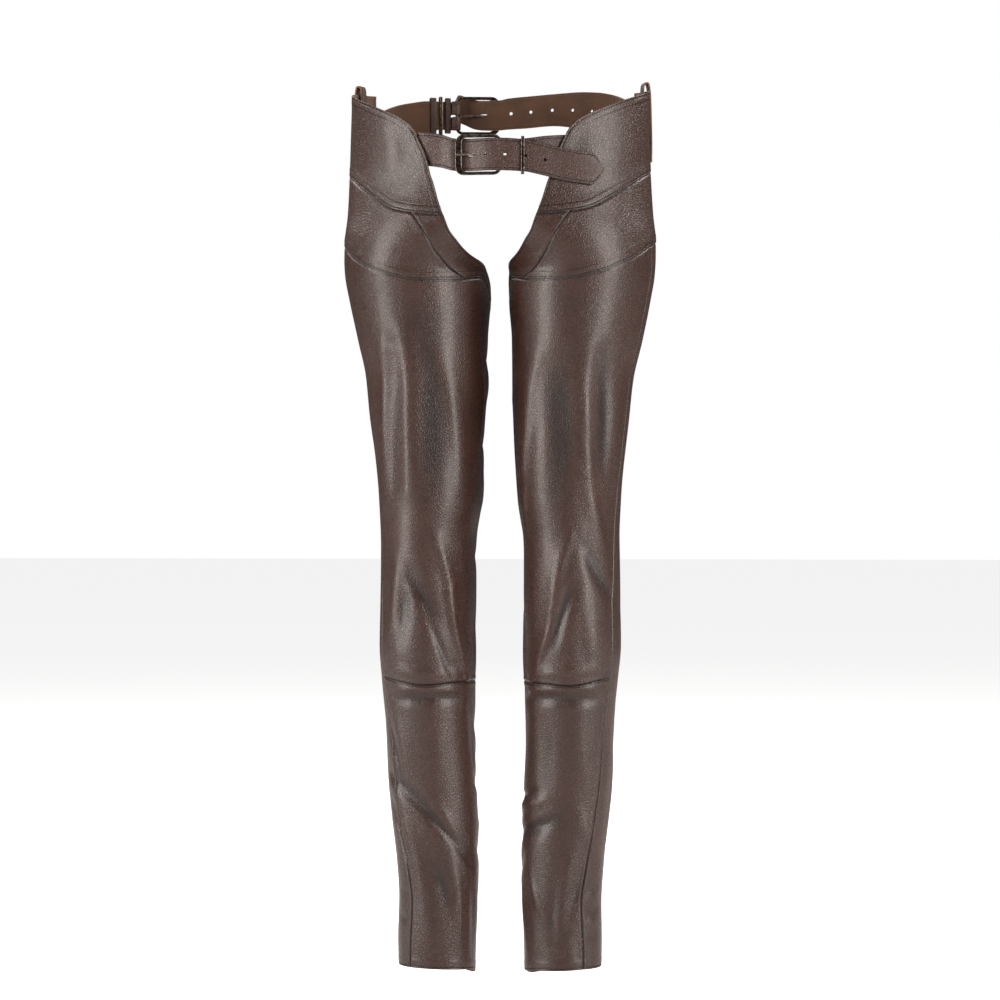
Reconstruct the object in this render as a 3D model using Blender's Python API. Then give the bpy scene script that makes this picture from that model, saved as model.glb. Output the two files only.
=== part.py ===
"""Riding chaps in brown grained leather: two zipped legs hung from a hip belt that buckles in front and behind.

Each leg is a hollow wall of sewn panels laid on one ring-section form. A point of that form is named by an angle
and a height: 0 degrees is the middle of the front, +90 the outer side, 180 the back and -90 the inner side. Edges
and seams are short tables in those two values, so panels that meet share their stations along the seam.

Axes: the front faces -Y, the wearer's left is +X, and +Z is up. The origin is the middle of the hip belt.
"""
import math

import bpy
from mathutils import Matrix, Vector

MM = 0.001

# Driving sizes, in millimetres
WALL = 2.0  # leather of the panels
BELT_WALL = 2.4  # leather of the belts
TAPE_WALL = 1.2  # woven tape of the zips
STRETCH_WALL = 1.6  # pleated leather
BINDING_WALL = 2.4
SEAM_INSET = 0.25  # each panel stops this far short of its seam
CURVED_INSET = 0.45  # and the gusset this far, where its seam bends two ways
PLEAT_DEPTH = 1.3  # rise of the pleats in the stretch panels
UPPER_PLEATS = 10
LOWER_PLEATS = 8
BINDING = 11.0  # height of the binding on the stretch panels
PULL_HEIGHT = 24.0  # zip pull, eye to tip
PULL_WIDTH = 9.0
PLATE_BACK = 0.2  # the slider's plate, out from the form
PLATE_FACE = 2.6
PIVOT_LIFT = 4.3  # the pull's axis
PULL_WIRE = 0.8  # radius of the pull's wire
PULL_STATIONS = 24
PULL_ROUNDNESS = 0.62  # power of the pull's oval, 1 for an ellipse
BAIL_RADIUS = 3.4
BAIL_EYE = 2.1  # radius of the hole that the pull hangs in
BAIL_WIDTH = 2.6
BAIL_LIFT = 1.2  # the bail's middle, out from the plate
BAIL_STATIONS = 14
PRONG_RADIUS = 1.3
PRONG_TIP_RADIUS = 0.9
TAPE_LIFT = -0.4
FACING_WALL = 1.2
FACING_LIFT = 1.9
FACING_WIDTH = 7.0  # degrees
FACING_START = 0.6  # degrees past the seam behind
HIP_LOOP_ANGLE = 103.0
HIP_LOOP_HALF_WIDTH = 6.5
HIP_LOOP_WALL = 1.8
GIRTH = 1.15  # millimetres of leather for a degree, about the middle of a leg
STRIP_FOOT = -1003.0
STRIP_CORNER = 9.0  # degrees that the strip's rounded corner takes off its foot

LEATHER = (0.112, 0.062, 0.048)
LEATHER_DARK = (0.082, 0.045, 0.036)
TAPE = (0.010, 0.009, 0.009)
METAL = (0.055, 0.043, 0.034)

# The form of one leg and its half of the hips. The sections are ovals with their own front and back depth.
# Columns: height, outer, inner, front, back
FORM = (
    (60, 179, -179, 108, 118),
    (0, 180, -180, 114, 127),
    (-45, 181, -181, 117, 132),
    (-67, 182, -172, 117, 134),
    (-105, 184, -110, 117, 133),
    (-136, 187, -40, 114, 127),
    (-158, 187, -1, 109, 119),
    (-176, 186, 12, 106, 112),
    (-206, 181, 12, 102, 103),
    (-254, 171, 15, 97, 95),
    (-302, 160, 15, 92, 89),
    (-350, 155, 18, 88, 84),
    (-446, 145, 22, 80, 75),
    (-494, 143, 28, 76, 69),
    (-566, 144, 29, 72, 62),
    (-620, 145, 30, 69, 61),
    (-662, 142, 30, 64, 64),
    (-734, 136, 31, 56, 71),
    (-782, 134, 29, 52, 74),
    (-830, 130, 27, 49, 71),
    (-878, 125, 26, 47, 65),
    (-926, 122, 27, 46, 59),
    (-974, 123, 29, 46, 57),
    (-1040, 120, 31, 46, 57),
)

# Angles of the upright seams and edges of a leg, by height
UPRIGHT_COLUMNS = ("height", "outer_seam", "strip_edge", "coil", "stretch_edge", "back_seam")
UPRIGHTS = (
    (-110, 76, 108, 113, 118, -159),
    (-254, 76, 103, 112, 121, -168),
    (-350, 75, 107, 117, 127, -171),
    (-446, 72, 108, 118, 128, -174),
    (-530, 67, 108, 118, 128, -178),
    (-580, 62, 108, 119, 130, -179),
    (-662, 60, 115, 127, 139, -175),
    (-745, 53, 121, 131.5, 142, -173),
    (-790, 50, 125, 134.5, 144, -172),
    (-880, 40, 129, 137, 145, -167),
    (-925, 34, 131, 138, 145, -165),
    (-1040, 38, 131, 138, 145, -162),
)

# Edges and seams that run across, each a height for an angle
# Columns: angle, height
TOP_EDGE = ((30, -14), (33, -4), (36, 2), (47, 15), (62, 28), (80, 38), (100, 45), (118, 47))
FRONT_EDGE = ((-90, -184), (-80, -174), (-68, -167), (-46, -158), (-15, -136), (3.5, -113), (8, -105),
              (21.5, -67), (25.5, -41), (30, -14))
CROTCH_EDGE = ((-159, -196), (-135, -204), (-115, -203), (-100, -194), (-90, -184))
REAR_EDGE = ((112, -45), (115, -20), (118, 10), (118, 47))
UPPER_YOKE_SEAM = ((3.5, -113), (17.5, -110), (32, -104), (49.5, -87), (75, -62), (112, -45))
LOWER_YOKE_SEAM = ((-159, -228), (-135, -230), (-115, -226), (-102, -218), (-90, -205), (-80, -192),
                   (-68, -182), (-42, -186), (-9, -188), (15, -181), (47, -163), (75, -144), (104, -135))
KNEE_SEAM = ((-180, -674), (-120, -670), (-90, -662), (-40, -663), (0, -665), (60, -656))
HEM = ((-172, -970), (-160, -985), (-146, -1006), (-135, -1017), (-120, -1016), (-90, -1009), (0, -1004),
       (60, -1003), (140, -1003))
STRETCH_TOP = ((118, -179), (201, -196))

DIAGONAL_TOP = 22.0  # where the diagonal seam leaves the upper yoke seam
DIAGONAL_FOOT = -48.0  # where it meets the lower yoke seam
DIAGONAL_PARTS = 6
DIAGONAL_BETWEEN = ((14, -119.5), (3, -133.5), (-10, -149), (-24, -163.5), (-37, -176))
BACK_CORNER = -164.5  # angle of the gusset's edge behind
STRETCH_FOOT = -953.0
ZIP_TOP = -110.0
ZIP_FOOT = -960.0
SLIDER_HEIGHT = -947.0
THIGH_LEVELS = (-254, -302, -350, -398, -446, -494, -530, -569, -580, -620)
SHIN_LEVELS = (-700, -745, -790, -835, -880, -925, -960)
CALF_BAND_TOP = THIGH_LEVELS[7]
CALF_BAND_FOOT = THIGH_LEVELS[8]
STRIP_LEVELS = (-190,) + THIGH_LEVELS + (-662,) + SHIN_LEVELS + (-985,)

# Largest folds: a crease from one place to another; a negative rise is a trough
# Columns: angle_a, height_a, angle_b, height_b, width, rise
FOLDS = {
    "left": (
        (-39, -291, -48, -500, 13, 3.0),
        (-16, -300, -20, -470, 12, -3.0),
        (9, -277, 15, -402, 14, 2.5),
        (27, -290, 35, -402, 12, -3.0),
        (15, -402, 42, -508, 13, 2.0),
        (-5, -500, -27, -570, 13, -3.0),
        (16, -508, 46, -555, 12, -3.0),
        (-90, -845, -11, -821, 12, -3.0),
    ),
    "right": (
        (41, -277, 50, -430, 12, -3.0),
        (18, -285, 21, -430, 14, 2.5),
        (-9, -331, -36, -445, 13, -3.0),
        (12, -486, -44, -586, 14, 3.0),
        (18, -550, 24, -575, 14, -3.0),
        (58, -788, -13, -830, 12, -3.0),
        (-13, -830, -56, -878, 12, -3.0),
    ),
}

# Belts: a row for each station, on the hip oval and a lift out of it
# Columns: angle, lift, foot, top
FRONT_STRAP = (
    (-42, -5.6, -52, -14), (-33, -5.4, -53, -14.5), (-26, -5.0, -54, -15.5), (-19, -4.0, -57, -18.5),
)
FRONT_STRAP_END = (
    (13.1, 7.6, -64, -27), (18, 6.4, -67, -30), (23.8, 4.6, -71, -34), (29.2, 3.9, -74, -37), (34.5, 3.9, -76, -39),
    (39.5, 4.3, -77, -40), (44.4, 5.6, -63.5, -55),
)
FRONT_BUCKLE_PIECE = (
    (42, -5.4, -56, -18), (34, -5.2, -57, -19), (27, -4.8, -58, -20), (20, -1.2, -60, -22), (15, 1.9, -62, -24.5),
    (9.9, 4.2, -60.9, -26.1),
)
BACK_STRAP = (
    (108, -6.0, -42, 30), (113, -5.9, -39, 33), (119.4, -5.2, -33, 36), (126, -3.2, -18, 42),
    (133, -1.6, -7, 48), (142, -1.2, 5, 53), (152, -1.2, 11, 55), (163, -1.2, 15, 54), (174, -1.5, 13, 52),
    (181, -1.9, 12, 50),
)
BACK_BUCKLE_PIECE = (
    (252, -5.9, -43, 22), (247, -5.8, -42, 25), (240.6, -5.2, -39, 28), (234, -3.2, -26, 34),
    (228, -1.5, -14, 39), (221, -0.6, -3, 43), (214, 1.0, 4, 46), (208.5, 2.6, 11.6, 46.2),
)

# The straps where they pass their buckles, measured from the middle of the frame: behind the end bar and out
# Columns: along, out, foot, top
FRONT_PASS = (
    (-29, -3.4, -18.2, 19.2), (-19, -3.3, -18.6, 18.9), (-13, -2.3, -18.8, 18.7), (-5, 0.4, -18.9, 18.6),
    (3, 3.2, -19, 18.5), (11, 5.6, -19, 18.5), (19, 7.0, -19.1, 18.4), (28, 7.2, -19.3, 18.2),
)
BACK_PASS = (
    (-29, -3.4, -17.8, 19.2), (-19, -3.3, -18.2, 18.8), (-13, -2.3, -18.0, 18.6), (-5, 0.6, -17.4, 18.8),
    (3, 4.4, -15.5, 20.5), (12, 8.6, -11, 24), (21, 12.0, -6, 27), (28, 14.2, 7, 18),
)
# The holes of each strap by their distance to the side, and their length
FRONT_HOLES = ((-20.2, 9), (-4.1, 4), (19.3, 4), (42.7, 4), (64.9, 4))
BACK_HOLES = ((103.0, 4.0), (78.4, 4.0), (52.7, 4.0), (25.7, 4.0), (1.2, 4.0), (-33.2, 9.0))
HOLE_HEIGHT = 4.4

# Buckles: the middle of the frame on the hip oval, then the sizes of the frame
# Columns: angle, height, lift
FRONT_BUCKLE = (-3.6, -43.5, 1.2)
BACK_BUCKLE = (193.5, 29.0, 1.2)
FRAME_WIDTH = 55.0
FRAME_HEIGHT = 47.6
FRAME_DEPTH = 3.2
FRAME_CORNER = 10.0
HOLLOW_CORNER = 2.5
END_BAR = 8.0
SIDE_BAR = 4.0
HINGE_REACH = 26.0  # from the buckle's middle to the outer side of its hinge bar
HINGE_BAR = 3.6
FOLD_RADIUS = 3.7  # middle of the leather round the hinge bar
FOLD_STEPS = 6
FOLD_SET_BACK = 0.4  # the fold's middle, in from the hinge bar's
TAIL_SLOPE = 0.06  # how fast the tail behind a fold leans in
FRONT_TAIL = 18.0
BACK_TAIL = 6.0
# The prong: along and out from the middle of the frame, from the hinge bar, through the strap, to the end bar
PRONG = ((24.7, 3.1), (18, 3.1), (8, 1.2), (-3, -2.4), (-6, -2.1), (-9.5, -0.6),
         (-13.5, 1.6), (-18.5, 3.3), (-23.2, 3.2),
         (-27.2, 3.1))


def value_at(table, at):
    """The second column of a two-column table at a value of its first."""
    rows = sorted(table)
    if at <= rows[0][0]:
        return rows[0][1]
    for low, high in zip(rows, rows[1:]):
        if at <= high[0]:
            share = (at - low[0]) / (high[0] - low[0])
            return low[1] + (high[1] - low[1]) * share
    return rows[-1][1]


def row_at(table, height):
    """All columns but the first of a table whose heights fall, at one height."""
    if height >= table[0][0]:
        return table[0][1:]
    for upper, lower in zip(table, table[1:]):
        if height >= lower[0]:
            share = (upper[0] - height) / (upper[0] - lower[0])
            return [a + (b - a) * share for a, b in zip(upper[1:], lower[1:])]
    return table[-1][1:]


def upright(name, height):
    """The angle of a named upright seam at a height."""
    return row_at(UPRIGHTS, height)[UPRIGHT_COLUMNS.index(name) - 1]


def spread(start, end, parts):
    """Evenly spaced values from start to end, both included."""
    return [start + (end - start) * k / parts for k in range(parts + 1)]


def section_point(angle, height):
    """The form's point for an angle and a height, without folds."""
    outer, inner, front, back = row_at(FORM, height)
    turn = math.radians(angle)
    middle = (outer + inner) / 2
    half = (outer - inner) / 2
    depth = front if math.cos(turn) > 0 else back
    return Vector((middle + half * math.sin(turn), -depth * math.cos(turn), height))


def outward(angle, height):
    """The form's outward direction."""
    round_way = section_point(angle + 1, height) - section_point(angle - 1, height)
    up_way = section_point(angle, height + 4) - section_point(angle, height - 4)
    return round_way.cross(up_way).normalized()


def fold_rise(side, angle, height):
    """How far the largest folds move the leather out at a place."""
    place = Vector((angle * GIRTH, height))
    rise = 0.0
    for angle_a, height_a, angle_b, height_b, width, depth in FOLDS[side]:
        start = Vector((angle_a * GIRTH, height_a))
        way = Vector((angle_b * GIRTH, height_b)) - start
        share = max(0.0, min(1.0, (place - start).dot(way) / way.length_squared))
        off = (place - start - way * share).length / width
        rise += depth * math.exp(-off * off)
    return rise


def form_point(side, angle, height, lift=0.0):
    """The folded form's point for an angle and a height, moved out by lift."""
    out = outward(angle, height)
    return section_point(angle, height) + out * (lift + fold_rise(side, angle, height))


def finish_material(name, colour, roughness, metallic):
    """One material of its own for an object."""
    material = bpy.data.materials.new(name)
    material.use_nodes = True
    shader = material.node_tree.nodes["Principled BSDF"]
    shader.inputs["Base Color"].default_value = (*colour, 1.0)
    shader.inputs["Roughness"].default_value = roughness
    shader.inputs["Metallic"].default_value = metallic
    return material


def add_object(name, points, faces, look, mirrored=False, centre=None):
    """Makes an object from points in millimetres. A mirrored one is the same thing on the wearer's right."""
    centre = centre or Vector((0, 0, 0))
    flip = -1 if mirrored else 1
    places = [((p.x - centre.x) * flip * MM, (p.y - centre.y) * MM, (p.z - centre.z) * MM) for p in points]
    sides = [tuple(reversed(face)) for face in faces] if mirrored else faces
    mesh = bpy.data.meshes.new(name)
    mesh.from_pydata(places, [], sides)
    mesh.validate()
    obj = bpy.data.objects.new(name, mesh)
    obj.location = (centre.x * flip * MM, centre.y * MM, centre.z * MM)
    bpy.context.collection.objects.link(obj)
    mesh.materials.append(finish_material(name + "_look", *look))
    return obj


def wall_faces(rows, columns, open_cells):
    """Faces of a closed wall between two grids of rows x columns points, outer grid first."""
    shift = rows * columns

    def solid(i, j):
        return 0 <= i < rows - 1 and 0 <= j < columns - 1 and (i, j) not in open_cells

    faces = []
    for i in range(rows - 1):
        for j in range(columns - 1):
            if not solid(i, j):
                continue
            ring = (i * columns + j, (i + 1) * columns + j, (i + 1) * columns + j + 1, i * columns + j + 1)
            faces.append(ring)
            faces.append(tuple(k + shift for k in reversed(ring)))
            beyond = ((i, j - 1), (i + 1, j), (i, j + 1), (i - 1, j))
            for edge, cell in enumerate(beyond):
                if not solid(*cell):
                    a, b = ring[edge], ring[(edge + 1) % 4]
                    faces.append((b, a, a + shift, b + shift))
    return faces


def wall(name, outer, inner, look, mirrored=False, open_cells=(), centre=None):
    """A closed wall between an outer and an inner grid of points."""
    rows, columns = len(outer), len(outer[0])
    faces = wall_faces(rows, columns, set(open_cells))
    used = sorted({k for face in faces for k in face})
    number = {k: n for n, k in enumerate(used)}
    flat = [p for row in outer for p in row] + [p for row in inner for p in row]
    points = [flat[k] for k in used]
    faces = [tuple(number[k] for k in face) for face in faces]
    return add_object(name, points, faces, look, mirrored, centre)


def square_to(edge, way):
    """The unit direction of way that is square to an edge."""
    edge = edge.normalized()
    return (way - edge * way.dot(edge)).normalized()


def inset(grid, amount):
    """The grid with its rim moved in, so that a seam keeps its gap."""
    rows, columns = len(grid), len(grid[0])
    moved = [[Vector(p) for p in row] for row in grid]
    for i in range(rows):
        for j, near in ((0, 1), (columns - 1, columns - 2)):
            edge = grid[min(i + 1, rows - 1)][j] - grid[max(i - 1, 0)][j]
            moved[i][j] += square_to(edge, grid[i][near] - grid[i][j]) * amount
    for j in range(columns):
        for i, near in ((0, 1), (rows - 1, rows - 2)):
            edge = grid[i][min(j + 1, columns - 1)] - grid[i][max(j - 1, 0)]
            moved[i][j] += square_to(edge, grid[near][j] - grid[i][j]) * amount
    return moved


def panel(name, side, places, look, thickness=WALL, lift=0.0, rise=None, gap=SEAM_INSET):
    """A panel on the form from a grid of (angle, height) places. rise(i, j) adds to the lift at a place."""
    outer, inner = [], []
    for i, row in enumerate(places):
        lifts = [lift + (rise(i, j) if rise else 0.0) for j in range(len(row))]
        outer.append([form_point(side, a, h, up) for (a, h), up in zip(row, lifts)])
        inner.append([form_point(side, a, h, up - thickness) for (a, h), up in zip(row, lifts)])
    return wall(name, inset(outer, gap), inset(inner, gap), look, mirrored=side == "right")


def patch(top, foot, front, rear):
    """Places filled in between four edges that share their corners, each a list of (angle, height)."""
    rows, columns = len(front), len(top)
    grid = []
    for i in range(rows):
        down = i / (rows - 1)
        row = []
        for j in range(columns):
            along = j / (columns - 1)
            place = []
            for k in (0, 1):
                ruled = (1 - down) * top[j][k] + down * foot[j][k] + (1 - along) * front[i][k] + along * rear[i][k]
                corners = (1 - down) * ((1 - along) * top[0][k] + along * top[-1][k])
                corners += down * ((1 - along) * foot[0][k] + along * foot[-1][k])
                place.append(ruled - corners)
            row.append(tuple(place))
        grid.append(row)
    return grid


def along(table, angles):
    """The places of an edge at some angles."""
    return [(a, value_at(table, a)) for a in angles]


def by_height(table, heights):
    """The places of an edge at some heights."""
    swapped = [(h, a) for a, h in table]
    return [(value_at(swapped, h), h) for h in heights]


LEATHER_LOOK = (LEATHER, 0.42, 0.0)
DARK_LOOK = (LEATHER_DARK, 0.45, 0.0)
TAPE_LOOK = (TAPE, 0.85, 0.0)
METAL_LOOK = (METAL, 0.35, 1.0)

# The hip loop's strap from its outer end, over the top edge to its inner end: (lift, height)
HIP_LOOP_PATH = ((2.6, -40), (3.4, -20), (3.6, 10), (3.4, 38), (2.6, 50), (0.6, 55), (-2.2, 55), (-4.6, 50),
                 (-5.4, 38), (-5.4, 18), (-5.2, 0))

# The slider's plate: across and up from its middle
SLIDER_OUTLINE = ((-3.2, -6), (3.2, -6), (4.6, -1.5), (4.6, 3.5), (2.4, 6), (-2.4, 6), (-4.6, 3.5), (-4.6, -1.5))

# Loops round the belts: (angle, low lift, high lift, foot, top, wall, width)
KEEPERS = (
    ("front_belt_keeper", (12.2, 1.2, 10.4, -65.4, -24.2, 1.5, 3.6), METAL_LOOK),
    ("back_belt_keeper", (208.0, 0.6, 7.0, 5.0, 51.0, 1.5, 3.2), METAL_LOOK),
    ("back_belt_loop_inner", (205.0, 1.0, 6.6, 8.4, 49.6, 1.3, 6.5), DARK_LOOK),
    ("back_belt_loop_outer", (211.4, -0.4, 5.8, 3.4, 49.4, 1.3, 7.0), DARK_LOOK),
)

YOKE_STATIONS = spread(DIAGONAL_TOP, 112, 8)
CROTCH_STATIONS = spread(BACK_CORNER, DIAGONAL_FOOT, 7)
FRONT_STATIONS = spread(DIAGONAL_FOOT, 76, 6)
DIAGONAL = [
    (DIAGONAL_TOP, value_at(UPPER_YOKE_SEAM, DIAGONAL_TOP)),
    *DIAGONAL_BETWEEN,
    (DIAGONAL_FOOT, value_at(LOWER_YOKE_SEAM, DIAGONAL_FOOT)),
]


def make_yoke(side):
    """The upper yoke: front edge, rounded corner, top edge, hip edge and the curved seam below."""
    foot = along(UPPER_YOKE_SEAM, [3.5] + YOKE_STATIONS)
    top = along(TOP_EDGE, [30, 33, 36, 47, 58, 70, 82, 94, 106, 118])
    front = by_height(FRONT_EDGE, [-14, -41, -67, -90, -113])
    rear = by_height(REAR_EDGE[:3], [47, 24, 1, -22, -45])
    return panel(f"{side}_yoke", side, patch(top, foot, front, rear), LEATHER_LOOK)


def make_hip_panel(side):
    """The panel between the two curved yoke seams, with the diagonal seam in front."""
    top = along(UPPER_YOKE_SEAM, YOKE_STATIONS)
    foot = along(LOWER_YOKE_SEAM, FRONT_STATIONS + [90, 104])
    rear = [(112 - 8 * k / DIAGONAL_PARTS, -45 - 90 * k / DIAGONAL_PARTS) for k in range(DIAGONAL_PARTS + 1)]
    return panel(f"{side}_hip_panel", side, patch(top, foot, DIAGONAL, rear), LEATHER_LOOK)


def make_gusset(side):
    """The crotch gusset: from the open front edge round the inner thigh to the seam at the back."""
    foot = along(LOWER_YOKE_SEAM, CROTCH_STATIONS) + DIAGONAL[::-1][1:]
    around = along(CROTCH_EDGE, spread(BACK_CORNER, -90, 5)) + along(FRONT_EDGE, [-75, -54])
    rim = around + along(FRONT_EDGE, [-43, -32, -21, -12, -4, 3.5])
    parts = 3
    rear = [(BACK_CORNER, -196 - 32 * k / parts) for k in range(parts + 1)]
    tip = [(3.5 + (DIAGONAL_TOP - 3.5) * k / parts, 0) for k in range(parts + 1)]
    tip = along(UPPER_YOKE_SEAM, [a for a, _ in tip])
    return panel(f"{side}_gusset", side, patch(rim, foot, rear, tip), LEATHER_LOOK, gap=CURVED_INSET)


def leg_row(height, stations):
    """Places across a leg panel at one height, from the seam at the back round to the outer seam."""
    ends = upright("back_seam", height), upright("outer_seam", height)
    return [(angle, height) for angle in spread(*ends, stations - 1)]


def seam_row(table, back_height, outer_height, stations):
    """Places across a leg panel along a seam or hem whose ends lie at two heights."""
    ends = upright("back_seam", back_height), upright("outer_seam", outer_height)
    return along(table, spread(*ends, stations - 1))


def make_thigh(side):
    """The leg panel above the knee, which wraps the front and the inner side."""
    top = along(LOWER_YOKE_SEAM, CROTCH_STATIONS + FRONT_STATIONS[1:])
    rows = [top] + [leg_row(h, len(top)) for h in THIGH_LEVELS] + [seam_row(KNEE_SEAM, -674, -656, len(top))]
    return panel(f"{side}_thigh", side, rows, LEATHER_LOOK)


def make_shin(side):
    """The leg panel below the knee, whose hem drops to a rounded point behind."""
    stations = len(CROTCH_STATIONS) + len(FRONT_STATIONS) - 1
    rows = [seam_row(KNEE_SEAM, -674, -656, stations)]
    rows += [leg_row(h, stations) for h in SHIN_LEVELS]
    rows.append(seam_row(HEM, -985, -1003, stations))
    return panel(f"{side}_shin", side, rows, LEATHER_LOOK)


def make_strip(side):
    """The outer strip that carries the zip, with a rounded lower corner."""
    rows = [along(LOWER_YOKE_SEAM, [76, 90, 104])]
    for height in STRIP_LEVELS:
        rows.append([(a, height) for a in spread(upright("outer_seam", height), upright("strip_edge", height), 2)])
    ends = upright("outer_seam", STRIP_FOOT), upright("strip_edge", STRIP_FOOT) - STRIP_CORNER
    rows.append([(a, STRIP_FOOT) for a in spread(*ends, 2)])
    return panel(f"{side}_outer_strip", side, rows, LEATHER_LOOK)


def make_zip_tapes(side):
    """The two woven tapes of the zip, one sewn to the strip and one to the stretch panel."""
    heights = [ZIP_TOP, -135, -179, *STRIP_LEVELS[:-2], ZIP_FOOT]
    for name, near, far in (("front", "strip_edge", "coil"), ("back", "coil", "stretch_edge")):
        rows = [[(upright(near, h), h), (upright(far, h), h)] for h in heights]
        panel(f"{side}_zip_tape_{name}", side, rows, TAPE_LOOK, TAPE_WALL, lift=TAPE_LIFT)


def stretch_ends(height):
    """The angles of a stretch panel's two edges at a height."""
    return upright("stretch_edge", height), 360 + upright("back_seam", height)


def stretch_row(height, columns):
    """Places across a stretch panel at one height."""
    return [(angle, height) for angle in spread(*stretch_ends(height), columns - 1)]


def stretch_top_row(drop, columns):
    """Places across a stretch panel along its sloping top edge, or that far below it."""
    outer_top, seam_top = STRETCH_TOP[0][1] - drop, STRETCH_TOP[1][1] - drop
    ends = upright("stretch_edge", outer_top), 360 + upright("back_seam", seam_top)
    return [(angle, value_at(STRETCH_TOP, angle) - drop) for angle in spread(*ends, columns - 1)]


def make_stretch(side):
    """The smocked stretch panels behind the leg, their bindings and the band between them."""
    upper_columns, lower_columns = 2 * UPPER_PLEATS + 1, 2 * LOWER_PLEATS + 1
    upper_levels = THIGH_LEVELS[: THIGH_LEVELS.index(CALF_BAND_TOP) + 1]
    lower_levels = (CALF_BAND_FOOT, -620, -662, *SHIN_LEVELS[:-1], STRETCH_FOOT + BINDING)
    upper = [stretch_top_row(BINDING, upper_columns)] + [stretch_row(h, upper_columns) for h in upper_levels]
    lower = [stretch_row(h, lower_columns) for h in lower_levels]
    for name, rows in (("stretch_upper", upper), ("stretch_lower", lower)):
        last = len(rows) - 1, len(rows[0]) - 1

        def pleat_rise(i, j, last=last):
            if i in (0, last[0]) or j in (0, last[1]):
                return -PLEAT_DEPTH
            return 0.0 if j % 2 else -PLEAT_DEPTH

        panel(f"{side}_{name}", side, rows, DARK_LOOK, STRETCH_WALL, rise=pleat_rise)
    bands = (
        ("stretch_top_binding", [stretch_top_row(drop, 6) for drop in (0, BINDING)]),
        ("calf_band", [stretch_row(h, 5) for h in (CALF_BAND_TOP, CALF_BAND_FOOT)]),
        ("stretch_foot_binding", [stretch_row(h, 4) for h in (STRETCH_FOOT + BINDING, STRETCH_FOOT)]),
    )
    for name, rows in bands:
        panel(f"{side}_{name}", side, rows, DARK_LOOK, BINDING_WALL)


def make_seam_facing(side):
    """The narrow folded strip stitched over the seam between the leg panels and the stretch panels."""
    heights = [-206, -236, *THIGH_LEVELS, -690, *SHIN_LEVELS[1:-1], -945]
    rows = []
    for height in heights:
        start = upright("back_seam", height) + FACING_START
        rows.append([(start, height), (start + FACING_WIDTH, height)])
    return panel(f"{side}_seam_facing", side, rows, DARK_LOOK, FACING_WALL, lift=FACING_LIFT)


def make_hip_loop(side):
    """The hip loop: a narrow strap folded over the top edge at the side, its outer end hanging down."""
    outward_way = outward(HIP_LOOP_ANGLE, 0)
    outward_way.z = 0
    outward_way.normalize()
    width_way = Vector((0, 0, 1)).cross(outward_way)
    reach = []
    for lift, height in HIP_LOOP_PATH:
        centre = section_point(HIP_LOOP_ANGLE, height) + outward_way * lift
        reach.append(Vector((centre.dot(outward_way), height)))
    outer, inner = [], []
    for k, spot in enumerate(reach):
        way = (reach[min(k + 1, len(reach) - 1)] - reach[max(k - 1, 0)]).normalized()
        across = Vector((way.y, -way.x)) * (HIP_LOOP_WALL / 2)
        base = section_point(HIP_LOOP_ANGLE, 0)
        tangent_part = base - outward_way * base.dot(outward_way)
        tangent_part.z = 0
        for sign, grid in ((1, outer), (-1, inner)):
            point = spot + across * sign
            centre = tangent_part + outward_way * point.x + Vector((0, 0, point.y))
            grid.append([centre + width_way * HIP_LOOP_HALF_WIDTH, centre - width_way * HIP_LOOP_HALF_WIDTH])
    return wall(f"{side}_hip_loop", outer, inner, DARK_LOOK, mirrored=side == "right")


def belt_spot(angle, lift, foot, top):
    """The middle of a belt at an angle, moved out level by lift from the form at its own height."""
    height = (foot + top) / 2
    out = outward(angle, height)
    out.z = 0
    return section_point(angle, height) + out.normalized() * lift


def hip_stations(table):
    """Stations (middle, foot, top) of a belt from a table on the hip oval."""
    return [(belt_spot(angle, lift, foot, top), foot, top) for angle, lift, foot, top in table]


def pass_stations(table, buckle):
    """Stations of a strap where it passes its buckle."""
    centre, along_way, _, out = buckle_axes(buckle)
    stations = []
    for along_it, out_of_it, foot, top in table:
        stations.append((centre + along_way * along_it + out * out_of_it, centre.z + foot, centre.z + top))
    return stations


def with_holes(stations, holes):
    """The stations with a pair at each hole, and the numbers of the hole cells."""
    way = 1 if stations[-1][0].x > stations[0][0].x else -1
    ends = [(x - way * length / 2, x + way * length / 2) for x, length in holes]
    kept = [s for s in stations if all((s[0].x - a) * way < -0.5 or (s[0].x - b) * way > 0.5 for a, b in ends)]
    for x in (x for pair in ends for x in pair):
        for before, after in zip(stations, stations[1:]):
            share = (x - before[0].x) / (after[0].x - before[0].x)
            if 0 <= share <= 1:
                spot = before[0].lerp(after[0], share)
                levels = [before[k] + (after[k] - before[k]) * share for k in (1, 2)]
                kept.append((spot, *levels))
                break
    kept.sort(key=lambda s: s[0].x * way)
    cells = [k for k, s in enumerate(kept) if any(abs(s[0].x - a) < 1e-3 for a, _ in ends)]
    return kept, cells


def ribbon(name, stations, look, cells):
    """A belt piece from stations (middle, foot, top), cut through at the numbered cells."""
    cut = HOLE_HEIGHT / 2
    outer, inner = [], []
    for k, (spot, foot, top) in enumerate(stations):
        before, after = stations[max(k - 1, 0)][0], stations[min(k + 1, len(stations) - 1)][0]
        way = Vector((after.x - before.x, after.y - before.y, 0)).normalized()
        out = Vector((way.y, -way.x, 0)) * (BELT_WALL / 2)
        middle = (foot + top) / 2
        base = Vector((spot.x, spot.y, 0))
        levels = (top, middle + cut, middle - cut, foot)
        outer.append([base + out + Vector((0, 0, h)) for h in levels])
        inner.append([base - out + Vector((0, 0, h)) for h in levels])
    outer = [list(level) for level in zip(*outer)]
    inner = [list(level) for level in zip(*inner)]
    return wall(name, outer, inner, look, open_cells=[(1, k) for k in cells])


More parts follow.
